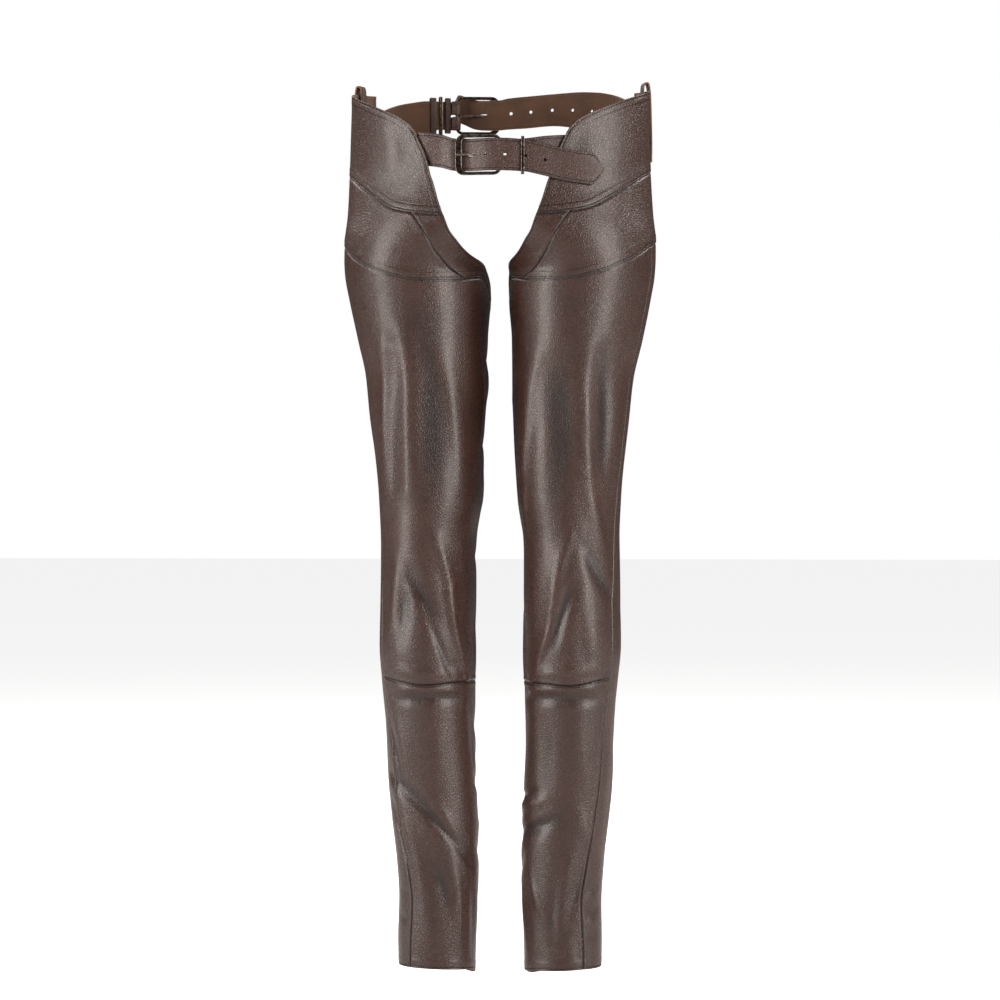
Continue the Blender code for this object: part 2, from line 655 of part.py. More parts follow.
def buckle_axes(buckle):
    """The middle of a buckle and its three directions: along the belt, up and outward."""
    angle, height, lift = buckle
    out = outward(angle, height)
    out.z = 0
    out.normalize()
    up = Vector((0, 0, 1))
    return section_point(angle, height) + out * lift, up.cross(out), up, out


def rounded_outline(half_wide, half_tall, radius, turns=4):
    """The points of a rounded rectangle, in order."""
    points = []
    for k, (sx, sy) in enumerate(((1, 1), (-1, 1), (-1, -1), (1, -1))):
        for step in range(turns + 1):
            turn = math.pi / 2 * (k + step / turns)
            centre = (sx * (half_wide - radius), sy * (half_tall - radius))
            points.append((centre[0] + radius * math.cos(turn), centre[1] + radius * math.sin(turn)))
    return points


def make_ring(name, centre, axes, outer, hollow, depth, look, bevel=0.6):
    """A flat ring between two outlines with the same count of points, its outer edges bevelled."""
    along_way, up, out = axes
    count = len(outer)
    points, faces = [], []
    for outline, level in ((outer, 1), (hollow, 1), (hollow, -1), (outer, -1)):
        for u, v in outline:
            points.append(centre + along_way * u + up * v + out * (level * depth / 2))
    for ring in range(4):
        for k in range(count):
            a, b = ring * count + k, ring * count + (k + 1) % count
            c, d = ((ring + 1) % 4) * count + (k + 1) % count, ((ring + 1) % 4) * count + k
            faces.append((a, b, c, d))
    obj = add_object(name, points, faces, look, centre=centre)
    soften = obj.modifiers.new("soft_edges", "BEVEL")
    soften.width = bevel * MM
    soften.segments = 1
    soften.limit_method = "ANGLE"
    soften.angle_limit = math.radians(50)
    return obj


def make_bar(name, route, radii, look, sides=8, close=False, centre=None, mirrored=False):
    """A round bar through a list of points, with a radius at each."""
    count = len(route)
    points, faces = [], []
    for k, spot in enumerate(route):
        before = route[k - 1] if (close or k) else spot
        after = route[(k + 1) % count] if (close or k + 1 < count) else spot
        way = (after - before).normalized()
        helper = Vector((0.13, 0.21, 0.97))
        side_way = way.cross(helper).normalized()
        other = way.cross(side_way)
        for s in range(sides):
            turn = 2 * math.pi * s / sides
            points.append(spot + (side_way * math.cos(turn) + other * math.sin(turn)) * radii[k])
    spans = count if close else count - 1
    for k in range(spans):
        for s in range(sides):
            a, b = k * sides + s, k * sides + (s + 1) % sides
            c, d = ((k + 1) % count) * sides + (s + 1) % sides, ((k + 1) % count) * sides + s
            faces.append((a, b, c, d))
    if not close:
        faces.append(tuple(reversed(range(sides))))
        faces.append(tuple(range((count - 1) * sides, count * sides)))
    bar = add_object(name, points, faces, look, mirrored=mirrored, centre=centre or route[0])
    for face in bar.data.polygons:
        face.use_smooth = len(face.vertices) == 4
    return bar


def make_buckle(where, buckle):
    """A belt buckle: its frame with a thicker end bar, and the prong that turns on the hinge bar."""
    centre, along_way, up, out = buckle_axes(buckle)
    shift = HINGE_REACH - FRAME_WIDTH / 2
    outline = [(u + shift, v) for u, v in rounded_outline(FRAME_WIDTH / 2, FRAME_HEIGHT / 2, FRAME_CORNER)]
    half_hollow = (FRAME_WIDTH - END_BAR - HINGE_BAR) / 2
    shift += (END_BAR - HINGE_BAR) / 2
    hollow = rounded_outline(half_hollow, FRAME_HEIGHT / 2 - SIDE_BAR, HOLLOW_CORNER)
    hollow = [(u + shift, v) for u, v in hollow]
    make_ring(f"{where}_buckle_frame", centre, (along_way, up, out), outline, hollow, FRAME_DEPTH, METAL_LOOK)
    points = [centre + along_way * u + out * v for u, v in PRONG]
    make_bar(f"{where}_buckle_prong", points, (PRONG_RADIUS,) * (len(PRONG) - 1) + (PRONG_TIP_RADIUS,),
             METAL_LOOK)


def make_keeper(name, keeper, look):
    """A loop round the belt, from its row (angle, low lift, high lift, foot, top, wall, width)."""
    angle, low, high, foot, top, thick, width = keeper
    centre = belt_spot(angle, (low + high) / 2, foot, top)
    out = outward(angle, centre.z)
    out.z = 0
    out.normalize()
    up = Vector((0, 0, 1))
    hollow = rounded_outline((high - low) / 2, (top - foot) / 2, 1.2, 2)
    outer = rounded_outline((high - low) / 2 + thick, (top - foot) / 2 + thick, 1.2 + thick, 2)
    make_ring(name, centre, (out, up, out.cross(up)), outer, hollow, width, look, bevel=0.3)


def make_buckle_piece(where, table, buckle, reach):
    """A belt piece that ends in a fold round the buckle's hinge bar, slotted for the prong."""
    centre, along_way, _, out = buckle_axes(buckle)
    hinge = centre + along_way * (HINGE_REACH - HINGE_BAR / 2)
    foot, top = table[-1][2:]
    fold = []
    for step in range(FOLD_STEPS + 1):
        turn = math.pi / 2 + math.pi * step / FOLD_STEPS
        fold.append(hinge + (along_way * math.cos(turn) + out * math.sin(turn)) * FOLD_RADIUS
                    - out * FOLD_SET_BACK)
    for far in (reach / 2, reach):
        fold.append(hinge + along_way * far - out * (FOLD_RADIUS + FOLD_SET_BACK + TAIL_SLOPE * far))
    stations = hip_stations(table) + [(spot, foot, top) for spot in fold]
    slot_end = len(table) + FOLD_STEPS
    last = len(stations) - 1
    slot = [last - 1 - k for k in range(len(table) - 1, slot_end)]
    ribbon(f"{where}_belt_buckle_piece", stations[::-1], DARK_LOOK, slot)


def make_belts():
    """The front and back belts, each a holed strap and a buckle piece."""
    strap = hip_stations(FRONT_STRAP) + pass_stations(FRONT_PASS, FRONT_BUCKLE) + hip_stations(FRONT_STRAP_END)
    strap, cells = with_holes(strap, FRONT_HOLES)
    ribbon("front_belt_strap", strap, DARK_LOOK, cells)
    strap = hip_stations(BACK_STRAP) + pass_stations(BACK_PASS, BACK_BUCKLE)
    strap, cells = with_holes(strap, BACK_HOLES)
    ribbon("back_belt_strap", strap, DARK_LOOK, cells)
    make_buckle_piece("front", FRONT_BUCKLE_PIECE, FRONT_BUCKLE, FRONT_TAIL)
    make_buckle_piece("back", BACK_BUCKLE_PIECE, BACK_BUCKLE, BACK_TAIL)


def slider_axes():
    """The middle line of the left zip at its slider: the place, the way out and the level way along the axis."""
    angle = upright("coil", SLIDER_HEIGHT)
    out = outward(angle, SLIDER_HEIGHT)
    out.z = 0
    out.normalize()
    return form_point("left", angle, SLIDER_HEIGHT), out, out.cross(Vector((0, 0, 1)))


def make_slider(side):
    """The zip's slider: its outer plate with the bail that holds the pull."""
    spot, out, axis = slider_axes()
    up = Vector((0, 0, 1))
    points = [spot + axis * u + up * v + out * d for d in (PLATE_FACE, PLATE_BACK) for u, v in SLIDER_OUTLINE]
    count = len(SLIDER_OUTLINE)
    faces = [tuple(range(count)), tuple(reversed(range(count, 2 * count)))]
    for k in range(count):
        a, b = k, (k + 1) % count
        faces.append((b, a, a + count, b + count))
    mirrored = side == "right"
    plate = add_object(f"{side}_slider", points, [f[::-1] for f in faces], METAL_LOOK, mirrored, centre=spot)
    centre = spot + out * (PLATE_FACE + BAIL_LIFT)
    turns = [2 * math.pi * k / BAIL_STATIONS for k in range(BAIL_STATIONS)]
    outer = [(BAIL_RADIUS * math.cos(t), BAIL_RADIUS * math.sin(t)) for t in turns]
    hollow = [(BAIL_EYE * math.cos(t), BAIL_EYE * math.sin(t)) for t in turns]
    bail = make_ring(f"{side}_bail_tool", centre, (out, up, axis), outer, hollow, BAIL_WIDTH, METAL_LOOK, bevel=0.2)
    if mirrored:
        bail.data.transform(Matrix.Scale(-1, 4, Vector((1, 0, 0))))
        bail.data.flip_normals()
        bail.location.x = -bail.location.x
    bail.hide_render = True
    bail.display_type = "WIRE"
    join = plate.modifiers.new("bail", "BOOLEAN")
    join.operation = "UNION"
    join.solver = "EXACT"
    join.object = bail


def make_pull(side):
    """The zip pull: an oval ring of wire with its origin on the axis that it swings about."""
    spot, out, axis = slider_axes()
    pivot = spot + out * PIVOT_LIFT
    half_wide, half_tall = PULL_WIDTH / 2, PULL_HEIGHT / 2
    route = []
    for k in range(PULL_STATIONS):
        turn = 2 * math.pi * k / PULL_STATIONS
        c, s = math.cos(turn), math.sin(turn)
        u = math.copysign(abs(c) ** PULL_ROUNDNESS, c) * half_wide
        v = math.copysign(abs(s) ** PULL_ROUNDNESS, s) * half_tall - half_tall
        route.append(pivot + axis * u + Vector((0, 0, v)))
    make_bar(f"{side}_pull", route, (PULL_WIRE,) * PULL_STATIONS, METAL_LOOK, sides=6, close=True, centre=pivot,
             mirrored=side == "right")


def clear_scene():
    """Removes every object."""
    for obj in list(bpy.data.objects):
        bpy.data.objects.remove(obj, do_unlink=True)


def main():
    """Builds the chaps."""
    clear_scene()
    for side in ("left", "right"):
        make_yoke(side)
        make_hip_panel(side)
        make_gusset(side)
        make_thigh(side)
        make_shin(side)
        make_strip(side)
        make_zip_tapes(side)
        make_stretch(side)
        make_seam_facing(side)
        make_hip_loop(side)
        make_slider(side)
        make_pull(side)
    make_belts()
    make_buckle("front", FRONT_BUCKLE)
    make_buckle("back", BACK_BUCKLE)
    for name, keeper, look in KEEPERS:
        make_keeper(name, keeper, look)


main()
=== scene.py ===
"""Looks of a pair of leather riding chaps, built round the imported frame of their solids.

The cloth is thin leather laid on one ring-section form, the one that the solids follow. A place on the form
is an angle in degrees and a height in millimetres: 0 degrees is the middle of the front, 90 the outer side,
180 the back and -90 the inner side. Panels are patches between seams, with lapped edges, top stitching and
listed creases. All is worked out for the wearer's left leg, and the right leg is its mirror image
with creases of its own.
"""
import logging
import math
from contextlib import contextmanager
from dataclasses import dataclass, field
from enum import Enum
from typing import Callable, Iterable, Iterator, Sequence
import bmesh
import bpy
import numpy as np
from mathutils import Matrix, Vector
from mathutils.kdtree import KDTree


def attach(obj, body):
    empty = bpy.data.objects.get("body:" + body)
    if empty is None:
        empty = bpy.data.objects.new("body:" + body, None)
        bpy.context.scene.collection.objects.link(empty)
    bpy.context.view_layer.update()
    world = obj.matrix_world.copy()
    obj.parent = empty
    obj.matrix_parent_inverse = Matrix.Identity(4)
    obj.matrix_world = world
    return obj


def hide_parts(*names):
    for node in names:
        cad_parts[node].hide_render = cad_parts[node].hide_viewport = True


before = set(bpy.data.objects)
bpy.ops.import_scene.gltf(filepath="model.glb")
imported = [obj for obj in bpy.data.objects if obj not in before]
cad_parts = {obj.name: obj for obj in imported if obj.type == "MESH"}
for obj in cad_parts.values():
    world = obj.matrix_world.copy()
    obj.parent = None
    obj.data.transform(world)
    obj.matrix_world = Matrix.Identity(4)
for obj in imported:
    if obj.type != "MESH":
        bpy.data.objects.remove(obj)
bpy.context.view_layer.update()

LOG = logging.getLogger("chaps")
MM = 0.001
GARMENT = "garment"

# -----------------------------------------------------------------------------
# The form and the cut, in millimetres and degrees
# -----------------------------------------------------------------------------

# (height, outer, inner, front, back)
SECTIONS = np.array((
    (60, 179, -179, 108, 118), (0, 180, -180, 114, 127), (-45, 181, -181, 117, 132),
    (-67, 182, -172, 117, 134), (-105, 184, -110, 117, 133), (-136, 187, -40, 114, 127),
    (-158, 187, -1, 109, 119), (-176, 186, 12, 106, 112), (-206, 181, 12, 102, 103),
    (-254, 171, 15, 97, 95), (-302, 160, 15, 92, 89), (-350, 155, 18, 88, 84), (-446, 145, 22, 80, 75),
    (-494, 143, 28, 76, 69), (-566, 144, 29, 72, 62), (-620, 145, 30, 69, 61), (-662, 142, 30, 64, 64),
    (-734, 136, 31, 56, 71), (-782, 134, 29, 52, 74), (-830, 130, 27, 49, 71), (-878, 125, 26, 47, 65),
    (-926, 122, 27, 46, 59), (-974, 123, 29, 46, 57), (-1040, 120, 31, 46, 57),
), float)

# Angles of the upright seams and edges by height
UPRIGHT_NAMES = ("outer_seam", "strip_edge", "coil", "stretch_edge", "back_seam")
UPRIGHTS = np.array((
    (-110, 76, 108, 113, 118, -159), (-254, 76, 103, 112, 121, -168), (-350, 75, 107, 117, 127, -171),
    (-446, 72, 108, 118, 128, -174), (-530, 67, 108, 118, 128, -178), (-580, 62, 108, 119, 130, -179),
    (-662, 60, 115, 127, 139, -175), (-745, 53, 121, 131.5, 142, -173), (-790, 50, 125, 134.5, 144, -172),
    (-880, 40, 129, 137, 145, -167), (-925, 34, 131, 138, 145, -165), (-1040, 38, 131, 138, 145, -162),
), float)

# The diagonal seam: its angles on the upper and the lower yoke seam, and the places between them
DIAGONAL_TOP = 22.0
DIAGONAL_FOOT = -48.0
DIAGONAL_BETWEEN = ((14, -119.5), (3, -133.5), (-10, -149), (-24, -163.5), (-37, -176))
BACK_CORNER = -164.5  # angle of the gusset's edge behind

# Angles of the other corners where edges and seams meet
TOP_FRONT, TOP_REAR = 30, 118
YOKE_FRONT, YOKE_REAR, HIP_REAR = 3.5, 112, 104
INNER = -90  # where the open front edge turns into the crotch's
OUTER_AT_YOKE, OUTER_AT_KNEE, OUTER_AT_HEM = 76, 60, 37
BACK_AT_KNEE, BACK_AT_HEM = -175, -163.4

# Edges and seams that run across, each a height for an angle
TOP_EDGE = ((30, -14), (33, -4), (36, 2), (47, 15), (62, 28), (80, 38), (100, 45), (118, 47))
FRONT_EDGE = (
    (-90, -184), (-80, -174), (-68, -167), (-46, -158), (-15, -136), (3.5, -113), (8, -105), (21.5, -67),
    (25.5, -41), (30, -14),
)
CROTCH_EDGE = ((BACK_CORNER, -196), (-159, -196), (-135, -204), (-115, -203), (-100, -194), (-90, -184))
REAR_EDGE = ((112, -45), (115, -20), (118, 10), (118.01, 47))
UPPER_YOKE_SEAM = ((3.5, -113), (17.5, -110), (32, -104), (49.5, -87), (75, -62), (112, -45))
LOWER_YOKE_SEAM = (
    (BACK_CORNER, -228), (-159, -228), (-135, -230), (-115, -226), (-102, -218), (-90, -205), (-80, -192),
    (-68, -182), (-42, -186), (-9, -188), (15, -181), (47, -163), (75, -144), (104, -135),
)
KNEE_SEAM = ((-180, -674), (-120, -670), (-90, -662), (-40, -663), (0, -665), (60, -656))
HEM = (
    (-172, -970), (-160, -985), (-146, -1006), (-135, -1016), (-120, -1016), (-90, -1009), (0, -1004),
    (60, -1003), (140, -1003),
)
STRIP_FOOT = ((-985, 131), (-994, 129), (-1000, 124.5), (-1003, 117))  # a height and an angle each

# Heights at which the upright seams start, cross the knee seam and end
BACK_TOP, BACK_KNEE, BACK_FOOT = -228, -674, -981
OUTER_TOP, OUTER_KNEE, HEM_LEVEL = -144, -656, -1003
STRIP_EDGE_TOP = -135
FACING_TOP, FACING_FOOT = -206, -945
STRETCH_TOP = -179
STRETCH_DROP = -17  # from the front corner of the stretch panels' top to the rear one
STRETCH_FOOT = -953.0
ZIP_TOP = -110.0
ZIP_FOOT = -960.0
SLIDER_HEIGHT = -947.0
BAND_HEIGHT = 11.0
CALF_BAND = (-569.0, -580.0)

# Creases of each leg: the (angle, height) where one starts, the (angle, height) where it ends, how far it
# bows sideways in the middle, its width, its rise and its lean. A negative rise is a trough, and a crease
# that leans is steeper on one side.
LEFT_CREASES = (
    (-32, -285, -59, -490, 5, 9, 2.8, 0.3), (-9, -300, -7, -430, -4, 15, -2.8, 0.0),
    (17, -268, 24, -405, 3, 9, 2.6, 0.2), (24, -400, 50, -508, 4, 8, 2.0, 0.1),
    (35, -276, 44, -408, -3, 8, -3.0, 0.2), (4, -492, -18, -572, 2, 7, 2.6, 0.3),
    (-7, -556, -38, -636, -3, 5.5, 3.2, 0.5), (3, -560, -15, -610, 2, 8, -3.4, 0.2),
    (25, -505, 56, -558, 3, 8, -2.6, 0.0), (15, -598, 22, -642, 0, 9, -1.6, 0.2),
    (-88, -585, -88, -660, 2, 4, 2.2, 0.0), (-75, -590, -76, -655, 0, 5, -2.0, 0.0),
    (-55, -430, -84, -540, 6, 6, -2.2, 0.3), (-88, -330, -96, -470, 4, 7, 2.2, 0.0),
    (-104, -340, -110, -480, -3, 6, -2.2, 0.0), (60, -300, 62, -420, 3, 8, 1.2, 0.0),
    (35, -669, -55, -672, 0, 3.2, 1.2, 0.0), (33, -683, -58, -684, 2, 5.5, -2.4, 0.3),
    (40, -646, -55, -651, -2, 6, 1.2, 0.0), (18, -705, 30, -780, 3, 11, 1.3, 0.0),
    (-30, -715, -22, -790, -3, 10, -1.2, 0.0), (-92, -798, -48, -790, 3, 4.5, -2.4, 0.4),
    (-90, -812, -25, -801, 2, 5, 1.8, 0.0), (-87, -842, -3, -821, 4, 7, -2.8, 0.3),
    (20, -812, 44, -850, 3, 9, 1.4, 0.0), (-45, -893, -24, -934, 3, 6, 1.7, 0.2),
    (-4, -908, -10, -962, 2, 8, -1.9, 0.0), (22, -858, -2, -950, 4, 9, 1.4, 0.0),
    (32, -880, 14, -940, -3, 7, -1.5, 0.1), (-75, -905, -62, -975, 2, 7, 1.4, 0.0),
    (-60, -865, -90, -890, 0, 6, -1.6, 0.0), (12, -975, 20, -1000, 0, 8, 0.9, 0.0),
    (-177, -316, -160, -346, 3, 5, 2.4, 0.0), (-160, -346, -110, -338, -6, 6, -3.0, 0.3),
    (-172, -360, -176, -448, 2, 5, -1.8, 0.0), (-120, -398, -176, -541, 5, 8, -3.2, 0.3),
    (-112, -420, -160, -530, 4, 7, 1.8, 0.0), (-130, -560, -168, -640, 3, 8, -2.2, 0.2),
    (-100, -570, -140, -640, 3, 7, 1.8, 0.0), (-138, -700, -150, -770, 3, 8, 1.6, 0.0),
    (-95, -720, -140, -775, 4, 7, -2.4, 0.2), (-110, -792, -160, -822, 4, 7, -2.6, 0.3),
    (-104, -812, -150, -846, 3, 6, 1.7, 0.0), (-92, -858, -148, -906, 4, 8, -2.4, 0.2),
    (-105, -928, -142, -960, 2, 7, -1.6, 0.0), (46, -905, 60, -907, 0, 2.4, -1.5, 0.3),
    (44, -933, 62, -931, 0, 2.6, -1.7, 0.3), (45, -966, 60, -963, 0, 2.2, -1.3, 0.3),
    (45, -919, 60, -920, 0, 3.5, 0.9, 0.0), (44, -948, 60, -948, 0, 3.5, 1.0, 0.0),
    (84, -250, 88, -330, 0, 6, -1.2, 0.0), (84, -470, 90, -560, 0, 6, 1.0, 0.0),
    (86, -610, 96, -700, 2, 6, -1.4, 0.0), (92, -760, 84, -850, 2, 6, 1.2, 0.0),
    (36, -24, 33, -66, 1, 5, -0.9, 0.0), (70, 20, 66, -40, 3, 10, 0.9, 0.0),
)
RIGHT_CREASES = (
    (32, -272, 53, -446, 3, 9, 2.6, 0.3), (8, -252, 15, -432, 2, 9, 2.8, 0.2),
    (22, -266, 36, -428, -2, 8, -3.0, 0.2), (-8, -246, -10, -424, 3, 16, -2.6, 0.0),
    (-24, -282, -43, -424, 4, 9, 2.0, 0.2), (-70, -296, -74, -368, 2, 4.5, 2.6, 0.3),
    (-82, -300, -86, -374, 2, 5, -2.4, 0.0), (-18, -496, -40, -575, 3, 7, 2.6, 0.3),
    (-32, -560, -60, -654, -3, 5.5, 3.4, 0.5), (12, -536, -34, -642, 3, 8, -3.4, 0.3),
    (21, -552, 22, -604, 0, 9, -2.2, 0.2), (-4, -572, -36, -634, 2, 6, 2.0, 0.2),
    (34, -520, 42, -600, 2, 7, 1.6, 0.0), (36, -671, -40, -672, 0, 3.2, 1.2, 0.0),
    (34, -684, -44, -683, 2, 5.5, -2.4, 0.3), (38, -648, -42, -652, -2, 6, 1.2, 0.0),
    (46, -700, 28, -770, 3, 8, 1.7, 0.2), (56, -716, 38, -775, 0, 6, -1.7, 0.0),
    (-14, -706, -10, -780, 2, 12, 1.2, 0.0), (60, -776, -8, -828, 4, 8, -3.0, 0.3),
    (-8, -828, -62, -884, 3, 7, -3.0, 0.3), (-10, -812, -50, -866, -2, 5, 2.8, 0.4),
    (46, -800, 14, -930, 5, 9, 2.0, 0.0), (62, -812, 40, -884, 2, 4, -2.0, 0.3),
    (54, -822, 34, -890, 2, 3.5, 1.2, 0.0), (-4, -884, -20, -934, 3, 9, -2.4, 0.0),
    (-28, -882, -42, -962, 3, 8, 1.8, 0.0), (8, -930, 0, -985, 0, 10, 1.0, 0.0),
    (-64, -900, -74, -980, 2, 8, -1.3, 0.0), (-70, -700, -84, -770, 3, 7, -1.8, 0.0),
    (-90, -273, -153, -371, 5, 8, -3.0, 0.3), (-96, -300, -150, -400, 5, 7, 1.8, 0.0),
    (-90, -373, -151, -471, 4, 8, -2.8, 0.3), (-96, -430, -150, -520, 4, 8, 1.8, 0.0),
    (-92, -512, -147, -569, 3, 8, -2.6, 0.2), (-110, -600, -160, -648, 3, 7, -1.8, 0.0),
    (-84, -600, -86, -655, 0, 4.5, 1.8, 0.0), (-95, -716, -148, -768, 4, 8, -2.2, 0.2),
    (-100, -738, -150, -792, 3, 7, 1.6, 0.0), (-92, -786, -155, -818, 4, 7, -2.8, 0.3),
    (-100, -836, -150, -862, 3, 6, 1.6, 0.0), (-90, -866, -150, -898, 4, 8, -2.4, 0.2),
    (-102, -926, -144, -958, 2, 7, -1.7, 0.0), (46, -912, 60, -914, 0, 2.6, -1.2, 0.3),
    (45, -945, 60, -944, 0, 2.6, -1.2, 0.3), (84, -300, 90, -380, 0, 6, 1.1, 0.0),
    (86, -500, 92, -580, 0, 6, -1.2, 0.0), (94, -700, 88, -790, 2, 6, 1.2, 0.0),
    (37, -14, 34, -60, 1, 5.5, -1.6, 0.2), (43, -10, 40, -50, 1, 6, 0.7, 0.0),
    (46, -50, 40, -84, 0, 10, -1.6, 0.0), (72, 14, 66, -46, 3, 12, -0.8, 0.0),
)

# Belts: (angle, lift, foot, top) on the hip oval, or (along, out, foot, top) from the middle of a buckle
FRONT_STRAP = (
    (-42, -5.6, -52, -14), (-33, -5.4, -53, -14.5), (-26, -5.0, -54, -15.5), (-19, -4.0, -57, -18.5),
)
FRONT_PASS = (
    (-29, -3.4, -18.2, 19.2), (-19, -3.3, -18.6, 18.9), (-13, -2.3, -18.8, 18.7), (-5, 0.4, -18.9, 18.6),
    (3, 3.2, -19, 18.5), (11, 5.6, -19, 18.5), (19, 7.0, -19.1, 18.4), (28, 7.2, -19.3, 18.2),
)
FRONT_STRAP_END = (
    (13.1, 7.6, -64, -27), (18, 6.4, -67, -30), (23.8, 4.6, -71, -34), (29.2, 3.9, -74, -37),
    (34.5, 3.9, -76, -39), (39.2, 4.3, -77, -40), (44.6, 5.4, -60.5, -57.5),
)
FRONT_BUCKLE_PIECE = (
    (42, -5.4, -56, -18), (34, -5.2, -57, -19), (27, -4.8, -58, -20), (20, -1.2, -60, -22),
    (15, 1.9, -62, -24.5), (9.9, 4.2, -60.9, -26.1),
)
BACK_STRAP = (
    (108, -6.0, -42, 30), (113, -5.9, -39, 33), (119.4, -5.2, -33, 36), (126, -3.2, -18, 42),
    (133, -1.6, -7, 48), (142, -1.2, 5, 53), (152, -1.2, 11, 55), (163, -1.2, 15, 54), (174, -1.5, 13, 52),
    (181, -1.9, 12, 50),
)
BACK_PASS = (
    (-29, -3.4, -17.8, 19.2), (-19, -3.3, -18.2, 18.8), (-13, -2.3, -18.0, 18.6), (-5, 0.6, -17.4, 18.8),
    (3, 4.4, -15.5, 20.5), (12, 8.6, -11, 24), (21, 12.0, -6, 27), (28, 14.2, 9, 14),
)
BACK_BUCKLE_PIECE = (
    (252, -5.9, -43, 22), (247, -5.8, -42, 25), (240.6, -5.2, -39, 28), (234, -3.2, -26, 34),
    (228, -1.5, -14, 39), (221, -0.6, -3, 43), (214, 1.0, 4, 46), (208.5, 2.6, 11.6, 46.2),
)


class Side(Enum):
    """A side of the wearer."""

    LEFT = "left"
    RIGHT = "right"

    @property
    def sign(self) -> int:
        """The side's direction along X."""
        return 1 if self is Side.LEFT else -1


class SeamKind(Enum):
    """How a panel ends at an edge."""

    OVER = "lapped over its neighbour"
    UNDER = "lapped under its neighbour"
    CLOSED = "sewn edge to edge"
    FREE = "cut and top stitched"
    BARE = "cut"


def smoothstep(low: float, high: float, value: np.ndarray) -> np.ndarray:
    """A soft step from 0 at low to 1 at high."""
    share = np.clip((value - low) / (high - low), 0.0, 1.0)
    return share * share * (3 - 2 * share)


def bell(value: np.ndarray, width: float) -> np.ndarray:
    """A soft bump of height 1 about zero."""
    return np.exp(-((value / width) ** 2))


def eased(xs: Sequence[float], ys: Sequence[float], at: np.ndarray) -> np.ndarray:
    """Reads a smooth curve through a table that never swings past its rows.

    Args:
        xs: The table's arguments, in any order.
        ys: Its values.
        at: Where the curve is read.

    Returns:
        The curve's values.
    """
    order = np.argsort(xs)
    x, y = np.asarray(xs, float)[order], np.asarray(ys, float)[order]
    step = np.diff(x)
    slope = np.diff(y) / step
    turn = np.zeros_like(y)
    turn[0], turn[-1] = slope[0], slope[-1]
    before, after = slope[:-1], slope[1:]
    same = before * after > 0
    ahead, behind = 2 * step[1:] + step[:-1], step[1:] + 2 * step[:-1]
    turn[1:-1][same] = (ahead + behind)[same] / (ahead[same] / before[same] + behind[same] / after[same])
    inside = np.clip(at, x[0], x[-1])
    k = np.clip(np.searchsorted(x, inside) - 1, 0, len(step) - 1)
    t = (inside - x[k]) / step[k]
    held = y[k] * (1 + 2 * t) * (1 - t) ** 2 + y[k + 1] * t * t * (3 - 2 * t)
    return held + step[k] * (turn[k] * t * (1 - t) ** 2 - turn[k + 1] * t * t * (1 - t))


# -----------------------------------------------------------------------------
# The form
# -----------------------------------------------------------------------------


